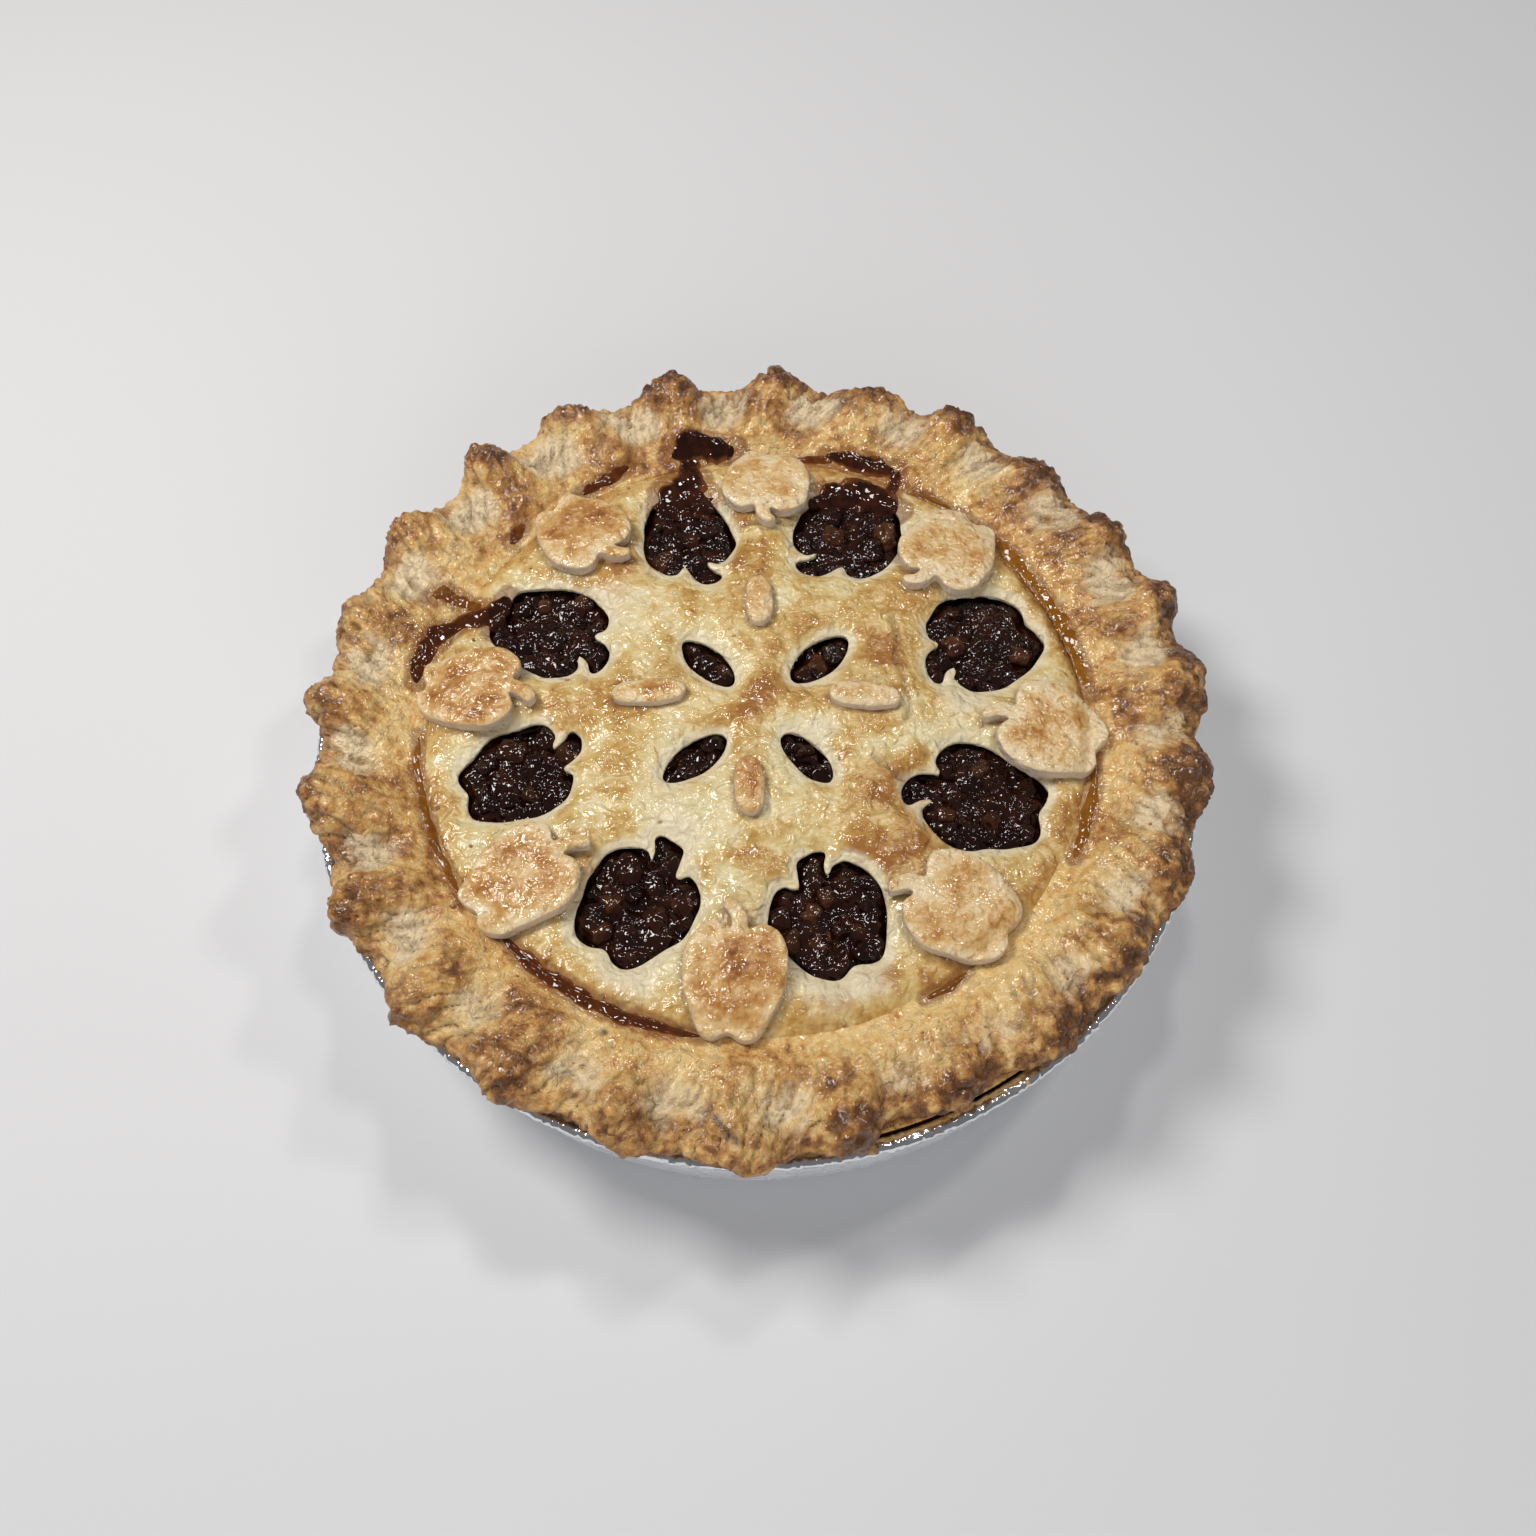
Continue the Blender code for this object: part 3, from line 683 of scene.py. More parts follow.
def eroded(outline, amount):  # the baked edge wanders in and out of the cut one
    points = np.array([(x, y, 0.0) for x, y in outline])
    ahead = np.roll(points, -2, axis=0) - np.roll(points, 2, axis=0)
    outward = np.stack([ahead[:, 1], -ahead[:, 0]], axis=1) / np.hypot(ahead[:, 0], ahead[:, 1])[:, None]
    before, after = points - np.roll(points, 3, axis=0), np.roll(points, -3, axis=0) - points
    bend = before[:, 0] * after[:, 1] - before[:, 1] * after[:, 0]
    bend /= np.linalg.norm(before, axis=1) * np.linalg.norm(after, axis=1)
    notched = np.min([np.roll(bend, k) for k in range(-6, 7)], axis=0)
    push = amount * (0.35 + 1.1 * grain(points, 6.5, 1, 61) + 0.4 * grain(points, 2.6, 1, 62))
    push *= smoothStep(-0.75, -0.05, notched)
    moved = points[:, :2] + outward * push[:, None]
    for _ in range(2):
        moved = moved * 0.5 + (np.roll(moved, 1, axis=0) + np.roll(moved, -1, axis=0)) * 0.25
    return [tuple(point) for point in moved]


cutting = {
    "windowStem": 1.6,  # the windows' stems have opened to this many times the cutter's width
    "appleErosion": 1.0,
    "leafErosion": 0.3,
    "leaf": (9.7, 4.3, 12, 0.55),  # half length, half width, points and how pointed
    "pip": (8.7, 3.6, 14, -0.6),
}
cutDraw = random.Random(5)
appleCuts = [placedApple(row, cutDraw, cutting["windowStem"]) for row in windows]
leafCuts = [placedOval(row, *cutting["leaf"], cutDraw) for row in leafWindows]
appleCuts = [eroded(outline, cutting["appleErosion"]) for outline in appleCuts]
leafCuts = [eroded(outline, cutting["leafErosion"]) for outline in leafCuts]
windowCuts = appleCuts + leafCuts
cutoutDraw = random.Random(23)
appleOutlines = [placedApple(row, cutoutDraw) for row in pastryApples]
pipOutlines = [placedOval(row, *cutting["pip"], cutoutDraw) for row in pips]


# where syrup has come up, as chains of (across, along, half width)

syrup = {
    "ribbons": (
        {"amber": 0.0, "depth": 1.1, "line": (
            (-23, 83.6, 2.0), (-19, 86.2, 4.0), (-13, 87.0, 4.4), (-5.5, 85.6, 2.6),
        )},
        {"amber": 0.05, "depth": 1.0, "line": (
            (-18, 84, 3.0), (-18, 79.5, 2.8), (-18.6, 75, 4.4), (-19.8, 70.5, 8.0), (-20.0, 63, 9.5),
        )},
        {"amber": 0.1, "depth": 1.1, "line": (
            (19.5, 83.8, 1.2), (25, 82.2, 2.4), (32, 80.0, 3.0), (38.4, 77.4, 2.4),
        )},
        {"amber": 0.15, "depth": 0.8, "line": ((38.4, 78.0, 1.9), (38.6, 74, 1.8), (37.0, 69.5, 2.4))},
        {"amber": 0.05, "depth": 0.9, "line": (
            (14.5, 66.4, 1.6), (20, 69.4, 3.6), (27.5, 70.2, 4.8), (34, 68.2, 4.6), (38.6, 64.6, 2.6),
        )},
        {"amber": 0.4, "depth": 0.5, "line": ((10.5, 82.9, 0.8), (16, 82.8, 1.3), (22, 82.2, 1.3))},
        {"amber": 0.68, "depth": 0.25, "line": (
            (55, 64, 0.9), (62, 57.6, 1.7), (67.5, 50, 2.0), (72.5, 41.5, 2.2),
            (77.2, 32.5, 2.3), (80.6, 23, 2.3), (83.0, 13, 1.9), (84.2, 5, 1.0),
        )},
        {"amber": 0.6, "depth": 0.5, "line": ((43, 72, 0.6), (48, 69, 0.9), (54, 64.8, 0.6))},
        {"amber": 0.65, "depth": 0.5, "line": (
            (83.6, -12, 0.7), (82.6, -20, 1.4), (79.6, -30, 1.5), (75.4, -40, 1.0),
        )},
        {"amber": 0.55, "depth": 0.5, "line": ((48, -68, 0.6), (43.5, -71.5, 1.3), (38, -74.5, 0.9))},
        {"amber": 0.3, "depth": 0.8, "line": (
            (-60, -57.5, 0.8), (-55, -62.8, 1.6), (-48.5, -68, 1.9), (-40, -73.6, 2.0),
            (-31, -78, 1.9), (-21, -81.2, 1.5), (-13, -82.8, 0.7),
        )},
        {"amber": 0.6, "depth": 0.5, "line": (
            (-84.6, -3, 0.5), (-84.2, -12, 0.9), (-81.8, -22, 1.1),
            (-77.6, -34, 1.2), (-72, -45, 0.9), (-69, -50, 0.5),
        )},
        {"amber": 0.2, "depth": 0.7, "line": (
            (-86.6, 11, 1.4), (-86.2, 16.5, 2.3), (-84.6, 22, 2.7), (-81.5, 26.4, 2.9),
            (-76.6, 29.6, 2.4), (-71, 31.4, 2.8), (-66, 32.4, 4.2),
        )},
        {"amber": 0.5, "depth": 0.3, "line": (
            (-71.5, 34.0, 1.8), (-77, 36.2, 2.2), (-81.5, 38, 2.8), (-85, 36.5, 1.6),
        )},
        {"amber": 0.05, "depth": 0.8, "line": ((-65.0, 38.0, 1.6), (-67.6, 32.5, 2.8), (-68.2, 27, 1.8))},
        {"amber": 0.4, "depth": 0.4, "line": ((-65.6, 54.6, 0.9), (-64.4, 57.8, 1.8), (-62.4, 61.4, 1.2))},
        {"amber": 0.35, "depth": 0.5, "line": ((-47.5, 71.3, 0.8), (-41, 76, 1.7), (-34.8, 80.4, 1.0))},
    ),
    "stainReach": 3.2,
    "step": 0.6,  # between the points along a ribbon
    "segmentsAcross": 20,
    "sunk": 0.15,
    "thickness": 1.2,
    "boiled": (  # colours, from thick and dark to thin and amber
        (0.0, (0.018, 0.0040, 0.0020)),
        (0.35, (0.095, 0.022, 0.0040)),
        (0.7, (0.26, 0.096, 0.006)),
        (1.0, (0.38, 0.155, 0.010)),
    ),
    "edge": (0.26, 0.085, 0.020),
}


def syrupGap(points):  # how far outside the nearest syrup each point lies
    nearest = np.full(len(points), 1e3)
    for ribbon in syrup["ribbons"]:
        for start, end in zip(ribbon["line"], ribbon["line"][1:]):
            width = (start[2] + end[2]) / 2
            nearest = np.minimum(nearest, lineDistance(points, (start, end)) - width)
    return nearest


# foil tin

tin = {
    "bead": 1.4,
    "beadStart": -165,
    "beadTurn": 285,
    "beadSteps": 10,
    "corner": 4.0,
    "cornerTurn": 72,
    "floorRings": (0.0, 50.0, 95.0),
    "wall": ((107.2, 16.0), (107.8, 28.0)),  # radius and height of points up its outside
    "wallInside": (107.2, 28.0),
    "stepsAround": 1120,
    "crimps": 236,
    "crimpDepth": 0.42,
    "dents": 0.12,
    "creaseSize": 7.0,
}


def tinArc(radius, height, bend, steps=5):
    turn = math.radians(tin["cornerTurn"])
    for step in range(steps + 1):
        angle = -math.pi / 2 + turn * step / steps
        yield radius - bend + bend * math.cos(angle), height + bend + bend * math.sin(angle)


def tinProfile():  # its cut, from the middle of the floor's underside round the bead and back inside
    start = pie["tinRim"] - pie["flange"]
    top = pie["tinHeight"]
    beadAt = (pie["tinRim"] - tin["bead"], top - tin["bead"])
    outside = [(radius, 0.0) for radius in tin["floorRings"]]
    outside += tinArc(pie["tinBase"], 0.0, tin["corner"])
    outside += [*tin["wall"], (start, top - 2.6), (start + 0.25, top - 2.3)]
    bead = []
    for step in range(tin["beadSteps"] + 1):
        angle = math.radians(tin["beadStart"] + tin["beadTurn"] * step / tin["beadSteps"])
        bead.append((beadAt[0] + tin["bead"] * math.cos(angle), beadAt[1] + tin["bead"] * math.sin(angle)))
    inside = [(start + 0.4, top - 0.7), (start - 0.2, top - 1.3), tin["wallInside"]]
    corner = tinArc(pie["tinBase"] - pie["tinWall"], pie["tinWall"], tin["corner"] - pie["tinWall"])
    inside += reversed(list(corner))
    inside += [(radius, pie["tinWall"]) for radius in reversed(tin["floorRings"])]
    return outside + bead + inside


def buildTin():
    bm = bmesh.new()
    spunRound(bm, [bm.verts.new((radius, 0, height)) for radius, height in tinProfile()], tin["stepsAround"])
    bmesh.ops.remove_doubles(bm, verts=bm.verts, dist=weldGap)
    piece = newPiece("foilTin", bm)
    points = readPoints(piece)
    start = pie["tinRim"] - pie["flange"]
    top = pie["tinHeight"]
    angle = np.arctan2(points[:, 1], points[:, 0])
    radius = awayFrom(points)
    # fine crimps on the flange and bead, each a little different, and slight dents in the wall
    around = np.stack([np.cos(angle), np.sin(angle), np.zeros(len(angle))], axis=1)
    loose = smoothNoise(around * 24 + 3.3)
    crimp = np.sin(angle * tin["crimps"] + 5.0 * loose) * (0.65 + 0.8 * np.abs(loose))
    edge = smoothStep(start - 1.5, start + 1.4, radius) * smoothStep(top - 3.2, top - 2.0, points[:, 2])
    slow = smoothNoise(around * 5 + 9.1)
    points[:, 2] += edge * (tin["crimpDepth"] * crimp * 0.8 - 0.25 + 0.5 * slow)
    push = edge * tin["crimpDepth"] * 0.55 * crimp * np.cos(angle * 31)
    wall = smoothStep(3, 8, points[:, 2]) * smoothStep(top - 2, top - 8, points[:, 2]) * (radius > 100)
    push += wall * tin["dents"] * (slow + 0.5 * loose)
    paint(piece, beaded=smoothStep(top - 4.0, top - 2.5, points[:, 2]))
    points[:, 0] += push * np.cos(angle)
    points[:, 1] += push * np.sin(angle)
    writePoints(piece, points)
    return piece


def foilLook():
    look, shader, place = startLook("crimpedFoil", Base_Color=(0.90, 0.91, 0.93, 1))
    beaded = attribute(place, "beaded")
    plug(0.45 + beaded * 0.5, shader, "Metallic")
    rubbed = speckle(place, 9.0, 4.0)
    fine = speckle(place, 0.9, 2.0)
    plug(between(rubbed, 0.35, 0.7, 0.20, 0.32) - beaded * 0.08, shader, "Roughness")
    values = {"Vector": place, "Scale": 1 / tin["creaseSize"]}
    creases = place.node("ShaderNodeTexVoronoi", {"feature": "DISTANCE_TO_EDGE"}, values)
    flats = bumped(between(creases, 0.0, 0.12), 0.14)
    plug(bumped(fine, 0.05, 0.7, flats), shader, "Normal")
    return look


finishPiece(buildTin(), foilLook(), "foil", "foil_tin")


# pastry shell and its pinched rim


def spunCrust():  # the whole crust turned once round, the rim's rows still at stand-in places
    inTin = pie["tinWall"] + pie["slack"]
    start = pie["tinRim"] - pie["flange"]
    under = [(0.0, inTin), (crust["floorRing"], inTin)]
    under += tinArc(pie["tinBase"] - inTin, inTin, crust["corner"], 3)
    under += [(start - inTin - 0.7, pie["tinHeight"] - 1.7), (start - 0.6, pie["tinHeight"] + pie["slack"])]
    cut = [(radius, height, -1) for radius, height in under]
    for part, count in enumerate(crust["rowsPerPart"]):
        cut += [(100 - part, 40 + row / count, part + row / count) for row in range(count)]
    cut.append((crust["skirt"], 40, len(crust["rowsPerPart"])))
    cut += [(radius, height, -1) for radius, height in crust["hollow"]]
    bm = bmesh.new()
    along = bm.verts.layers.float.new("along")
    spun = []
    for radius, height, part in cut:
        vert = bm.verts.new((radius, 0, height))
        vert[along] = part
        spun.append(vert)
    spunRound(bm, spun, crust["stepsAround"])
    weldMiddle(bm)
    return newPiece("pastryCrust", bm)


def rimFeatures(here, u, angle, bent, radius):  # where the rim is ridged, pressed in, wrinkled or creased
    rim = SimpleNamespace(u=u, angle=angle)
    rim.ridged = np.clip(ridge(bent, 1) / crust["lift"], 0, 1.2)
    rim.valley = np.clip(1 - 1.25 * rim.ridged, 0, 1)
    polar = np.stack([angle * 100, radius, here[:, 2]], axis=1)
    slanted = polar + np.stack([radius * 0.35, radius * 0, radius * 0], axis=1)
    rim.lumps = grain(here, 8.5, 3, 1)
    rim.small = grain(here, 2.3, 3, 2)
    rim.wrinkles = 1 - np.abs(grain(slanted, (1.5, 6.5, 4.0), 3, 3)) * 2.2
    rim.layers = grain(polar, (10.0, 3.5, 0.9), 3, 4)
    rim.dimples = grain(here, 5.0, 2, 6)
    rim.atKnob = rim.ridged * bell(u + 0.5 * rim.lumps, 2.4, 1.25)
    rim.inScoop = rim.valley * bell(u + 0.6 * rim.dimples, 4.3, 1.25)
    first, second = cells(here, 4.6, 5)
    rim.knobs = 1 - np.clip(first * 1.5, 0, 1) ** 2
    rim.seams = smoothStep(0.0, 0.2, second - first)
    rim.creases = np.clip(1 - np.abs(grain(slanted, (4.2, 13.0, 9.0), 2, 17)) * 1.6, 0, 1) ** 5
    rim.blisters = smoothStep(0.25, 0.7, grain(here, 3.4, 2, 10))
    return rim


def rimRelief(rim):  # how far the baked rim stands out of its plain form
    u = rim.u
    lift = crust["lumps"] * rim.lumps + 1.1 * rim.atKnob - crust["scoops"] * rim.inScoop
    lift += crust["knobs"] * (rim.knobs - 0.5) * (0.12 + 0.75 * rim.atKnob)
    lift -= 0.45 * (1 - rim.seams) * (0.08 + 0.92 * rim.atKnob)
    lift += crust["crags"] * rim.small * (0.5 + 0.9 * rim.atKnob + 0.5 * smoothStep(3.4, 1.0, u))
    whereWrinkled = (0.25 + 0.95 * rim.inScoop + 0.3 * bell(u, 4.5, 2.0)) * smoothStep(1.5, 3.0, u)
    lift += crust["wrinkles"] * rim.wrinkles * whereWrinkled
    lift += 0.5 * rim.layers * smoothStep(3.2, 0.8, u)
    lift -= crust["creases"] * rim.creases * (0.35 + 0.65 * bell(u, 2.9, 1.9)) * smoothStep(7.0, 5.6, u)
    lift += crust["blisters"] * rim.blisters * (1 - rim.inScoop)
    return lift * (smoothStep(0.0, 0.8, u) * smoothStep(8.0, 6.9, u))


def rimColours(rim, here):
    u = rim.u
    toastedSide = 0.5 + 0.5 * np.cos(rim.angle - crust["toastedSide"])
    tone = grain(here, 12.0, 3, 7)
    broken = 0.55 + 0.9 * grain(here, 4.5, 3, 14)
    browned = 0.24 + 0.34 * rim.atKnob * broken + 0.36 * smoothStep(2.2, 0.6, u)
    browned += 0.44 * tone + 0.36 * rim.small + 0.16 * rim.ridged * bell(u, 4.4, 1.8)
    browned += 0.56 * toastedSide**2 * smoothStep(4.8, 2.2, u) * broken
    browned -= 0.24 * rim.inScoop + 0.08 * smoothStep(5.5, 7.5, u)
    # painted shade: the rim is darker towards the shadySide bearing, on its far side
    browned += 0.15 * smoothStep(-0.1, 0.7, np.cos(rim.angle - crust["shadySide"]))
    browned += 0.16 * (1 - 0.8 * toastedSide) * bell(u, 2.7, 1.4)
    for across, along, size in crust["bare"]:
        browned -= 0.5 * bell(awayFrom(here, across, along), 0, size)
    floury = rim.inScoop * (0.95 + 0.6 * rim.dimples)
    floury += (0.30 * bell(u, 3.4, 2.2) + 0.35 * (rim.wrinkles - 0.5)) * rim.valley
    floury *= 1 - 0.35 * smoothStep(0.3, 0.9, -np.sin(rim.angle))
    # painted shade: darker in the dips, the wrinkles' troughs, the seams between the knobs and the creases
    hollow = 0.5 * smoothStep(-0.2, -0.85, rim.small)
    hollow += 0.8 * smoothStep(0.35, -0.1, rim.wrinkles) * rim.inScoop
    hollow += (1 - rim.seams) * rim.atKnob * 0.8 + rim.creases * smoothStep(7.0, 5.0, u)
    marks = [bell(lineDistance(here, line) + 0.5 * rim.small, 0, size) for line, size in crust["marks"]]
    return {
        "browned": browned,
        "floury": floury,
        "marked": sum(marks),
        "creviced": hollow,
        "stained": smoothStep(syrup["stainReach"], 0.0, syrupGap(here)),
        "glazed": smoothStep(1.8, 4.2, u + 1.5 * tone + 1.2 * rim.ridged) * (1 - rim.inScoop),
    }


def buildCrust():
    piece = spunCrust()
    points = readPoints(piece)
    reach = np.empty(len(points), np.float32)
    piece.data.attributes["along"].data.foreach_get("value", reach)
    onRim = reach >= 0
    angle = np.arctan2(points[onRim, 1], points[onRim, 0])
    u = reach[onRim].astype(float)
    leaning = crust["lean"] * np.sin(3 * angle + 1.1) + np.radians(1.8) * np.sin(7 * angle + 0.3)
    bent = angle + leaning * (u - 3.5) / 3.5 * 0.8
    cut = throughKnots(rimKnots(bent), u)
    points[onRim] = np.stack([cut[:, 0] * np.cos(angle), cut[:, 0] * np.sin(angle), cut[:, 1]], axis=1)
    writePoints(piece, points)
    here = points[onRim]
    rim = rimFeatures(here, u, angle, bent, cut[:, 0])
    here += readNormals(piece)[onRim] * rimRelief(rim)[:, None]
    here[:, 2] = np.maximum(here[:, 2], pie["tinHeight"] + pie["slack"])
    points[onRim] = here
    writePoints(piece, points)
    layers = {}
    for name, values in rimColours(rim, here).items():
        layers[name] = np.full(len(points), crust["underside"].get(name, 0.0))
        layers[name][onRim] = values
    paint(piece, **layers)
    return piece


def crustLook():
    look, shader, place = startLook("bakedCrust", Specular_IOR_Level=0.6)
    browned, floury, stained = attributes(place, "browned", "floury", "stained")
    glazed, creviced, marked = attributes(place, "glazed", "creviced", "marked")
    patch = speckle(place, 4.0, 5.0, 0.6)
    dust = speckle(place, 0.8, 4.0, 0.65)
    # browned also carries the painted shade on the rim's far side
    toast = browned + (patch - 0.5) * 1.3 + (dust - 0.5) * 0.8
    baked = ramped(toast, crust["baked"])
    flour = between(floury + (dust - 0.5) * 0.8 + (patch - 0.5) * 0.5, 0.22, 0.80)
    colour = mixed(flour * 0.85, baked, crust["flour"])
    colour = mixed(between(stained + (patch - 0.5) * 0.5, 0.45, 1.0) * 0.65, colour, crust["stain"])
    # painted shade in the rim's crevices
    colour = mixed(creviced * 0.55, colour, crust["creviceShade"])
    colour = mixed(marked * 0.85, colour, crust["juice"])
    plug(colour, shader, "Base Color")
    shine = glazed * between(patch, 0.30, 0.44)
    plug(0.54 - shine * 0.45, shader, "Roughness")
    wrinkled = speckle(place, 2.2, 2.0, 0.6, 0.5)
    crumbly = speckle(place, 1.0, 1.0, 0.6)
    low = bumped(wrinkled * (1.0 - shine * 0.35), 1.3)
    plug(bumped(crumbly * (1.0 - shine * 0.65), 0.40, 0.9, low), shader, "Normal")
    return look


crustPiece = finishPiece(buildCrust(), crustLook(), "crust", "pastry_shell")


# lid with its windows

lid = {
    "voxel": 0.74,
    "soften": 5,
    "drawnIn": ((1.8, 18, 0.45), (1.0, -110, 0.30)),  # how deep, at what bearing, how wide
    "droop": 1.3,  # how far the windows' lips sink
    "puff": 0.45,
    "ripple": 0.30,
    "cracks": (
        ((35.0, 26.5), (36.5, 21.0), (35.0, 15.5), (37.0, 9.0)),
        ((29.0, -14.0), (33.0, -17.5), (37.5, -20.5)),
        ((37.0, 9.0), (38.5, 2.0), (37.0, -3.5)),
        ((-3.0, 59.0), (4.0, 58.4), (10.0, 58.8)),
        ((41.0, 43.0), (46.0, 41.0), (50.5, 43.5)),
    ),
    "crackDepth": 0.9,
    "bare": (  # across, along and size of the places that the egg wash missed
        (-28.0, -70.0, 10.0), (16.0, -72.0, 9.0), (24.0, -70.0, 7.0), (52.0, 3.0, 8.0), (-19.0, -31.0, 9.0),
        (-34.0, 34.0, 8.0), (15.0, -6.0, 5.0), (-66.0, 3.0, 7.0), (12.0, 74.0, 7.0), (-52.0, -48.0, 6.0),
    ),
    "spots": (  # across, along, size, strength of extra browning
        (0.0, 4.0, 5.5, 0.65), (31.0, -21.0, 9.0, 0.5), (-34.0, 46.0, 10.0, 0.3), (31.0, 17.0, 7.0, 0.4),
        (6.0, 49.0, 9.0, 0.35), (-33.0, -41.0, 7.0, 0.4), (35.0, -37.0, 8.0, 0.5), (0.5, -37.0, 6.0, 0.2),
        (54.0, -8.0, 8.0, -0.5), (-20.0, -30.0, 9.0, -0.5),
        (-10.0, -70.0, 13.0, -0.35), (-64.0, 6.0, 9.0, -0.3),
        (64.0, 3.0, 9.0, -0.3), (15.0, -5.0, 6.0, -0.4), (-30.0, 22.0, 8.0, -0.3), (22.0, -70.0, 12.0, 0.15),
    ),
    "baked": (  # colours, from hardly baked to toasted
        (0.0, (0.78, 0.655, 0.375)),
        (0.25, (0.735, 0.555, 0.255)),
        (0.48, (0.64, 0.425, 0.150)),
        (0.72, (0.52, 0.285, 0.078)),
        (1.0, (0.36, 0.150, 0.038)),
    ),
    "dry": (0.76, 0.66, 0.46),
    "stain": (0.24, 0.085, 0.022),
    "freckle": (0.34, 0.15, 0.045),
    # colour of the painted shade in the cracks and round the cutouts' feet
    "crack": (0.26, 0.16, 0.07),
}


def lidBorder(steps=240):
    for step in range(steps):
        angle = math.tau * step / steps
        radius = pie["lidRadius"]
        for depth, bearing, spread in lid["drawnIn"]:
            radius -= depth * math.exp(-((turnBetween(angle, math.radians(bearing)) / spread) ** 2))
        yield radius * math.cos(angle), radius * math.sin(angle)


def slabFrom(loops, thickness):  # the area between outlines, given a thickness
    bm = bmesh.new()
    edges = []
    for loop in loops:
        ring = [bm.verts.new((x, y, 0)) for x, y in loop]
        edges += [bm.edges.new(pair) for pair in zip(ring, ring[1:] + ring[:1])]
    bmesh.ops.triangle_fill(bm, use_beauty=True, use_dissolve=False, edges=edges, normal=(0, 0, 1))
    made = bmesh.ops.extrude_face_region(bm, geom=bm.faces[:])
    top = [item for item in made["geom"] if isinstance(item, bmesh.types.BMVert)]
    bmesh.ops.translate(bm, verts=top, vec=(0, 0, thickness))
    return bm


def lidColours(points, normals, inland, ripple, crackGap):
    browned = 0.46 + 0.50 * grain(points, 15.0, 3, 13) + 0.26 * ripple
    for across, along, size, strength in lid["spots"]:
        browned += strength * bell(awayFrom(points, across, along), 0, size)
    browned += 0.18 * smoothStep(72, 82, awayFrom(points))
    thin = 0.75 + 0.75 * grain(points, 9.0, 2, 15)
    pale = bell(inland, 0, 2.0) * thin + 0.8 * smoothStep(0.75, 0.3, normals[:, 2])
    pale += 0.35 * bell(inland, 0, 5.5) * thin
    for across, along, size in lid["bare"]:
        pale += 0.75 * bell(awayFrom(points, across, along) + 3.0 * ripple, 0, size)
    # painted shade: a dark line round the foot of each pastry apple and pip, where it sits on the lid
    shadeBesideCutout = bell(outlineDistance(points, appleOutlines + pipOutlines), 0.3, 0.8)
    return {
        "browned": browned,
        "pale": pale,
        # painted shade in the cracks and round the cutouts' feet
        "cracked": np.maximum(bell(crackGap, 0, 0.6), 0.75 * shadeBesideCutout),
        "stained": smoothStep(syrup["stainReach"], 0.0, syrupGap(points)),
    }


def buildLid():
    piece = newPiece("pastryLid", slabFrom([list(lidBorder()), *windowCuts], pie["lidThickness"]))
    revoxel(piece, lid["voxel"], lid["soften"])
    points = readPoints(piece)
    share = np.clip(points[:, 2] / pie["lidThickness"], 0, 1)
    inland = np.maximum(outlineDistance(points, windowCuts), 0)
    points[:, 2] += lidTop(points) - pie["lidThickness"]
    ripple = grain(points, 7.0, 3, 11)
    fine = grain(points, 2.4, 2, 12)
    rise = -lid["droop"] * bell(inland, 0, 2.6) + lid["puff"] * smoothStep(1.0, 9.0, inland) - 0.2
    rise += lid["ripple"] * ripple * smoothStep(0, 4, inland) + 0.09 * fine
    jagged = points.copy()
    jagged[:, :2] += 0.9 * np.stack([fine, ripple], axis=1)
    crackGap = np.min([lineDistance(jagged, crack) for crack in lid["cracks"]], axis=0)
    rise -= lid["crackDepth"] * bell(crackGap, 0, 0.55) - 0.3 * bell(crackGap, 1.3, 0.8)
    points[:, 2] += rise * smoothStep(0.3, 1.0, share)
    writePoints(piece, points)
    paint(piece, **lidColours(points, readNormals(piece), inland, ripple, crackGap))
    return piece


def lidLook():
    look, shader, place = startLook("eggWashedLid", Specular_IOR_Level=0.65)
    browned, pale, stained, cracked = attributes(place, "browned", "pale", "stained", "cracked")
    blotch = speckle(place, 6.0, 5.0, 0.6)
    mottle = speckle(place, 1.6, 4.0, 0.6)
    freckle = speckle(place, 0.55, 3.0, 0.6)
    toast = browned + (blotch - 0.5) * 1.3 + (mottle - 0.5) * 0.8 - pale * 0.32
    baked = ramped(toast, lid["baked"])
    lip = between(pale + (mottle - 0.5) * 0.5 + (blotch - 0.5) * 0.5, 0.30, 1.0)
    colour = mixed(lip * 0.8, baked, lid["dry"])
    colour = mixed(between(stained + (mottle - 0.5) * 0.5, 0.40, 1.0) * 0.7, colour, lid["stain"])
    colour = mixed(between(freckle, 0.69, 0.76) * 0.45, colour, lid["freckle"])
    # painted shade in the cracks and round the cutouts' feet
    colour = mixed(cracked * 0.7, colour, lid["crack"])
    plug(colour, shader, "Base Color")
    wash = between(blotch, 0.30, 0.62, 0.25, 1.0) * (1.0 - lip * 0.85)
    plug(0.50 - wash * 0.40, shader, "Roughness")
    strokes = speckle(place, 3.0, 1.0, 0.5, 0.5)
    curls = speckle(place, 1.3, 1.0, 0.55, 0.2)
    low = bumped(strokes, 1.4)
    plug(bumped(curls, 0.30, 1.0, low), shader, "Normal")
    return look


lidPiece = finishPiece(buildLid(), lidLook(), "lid", "pastry_lid")


# pastry apples and pips laid on the lid

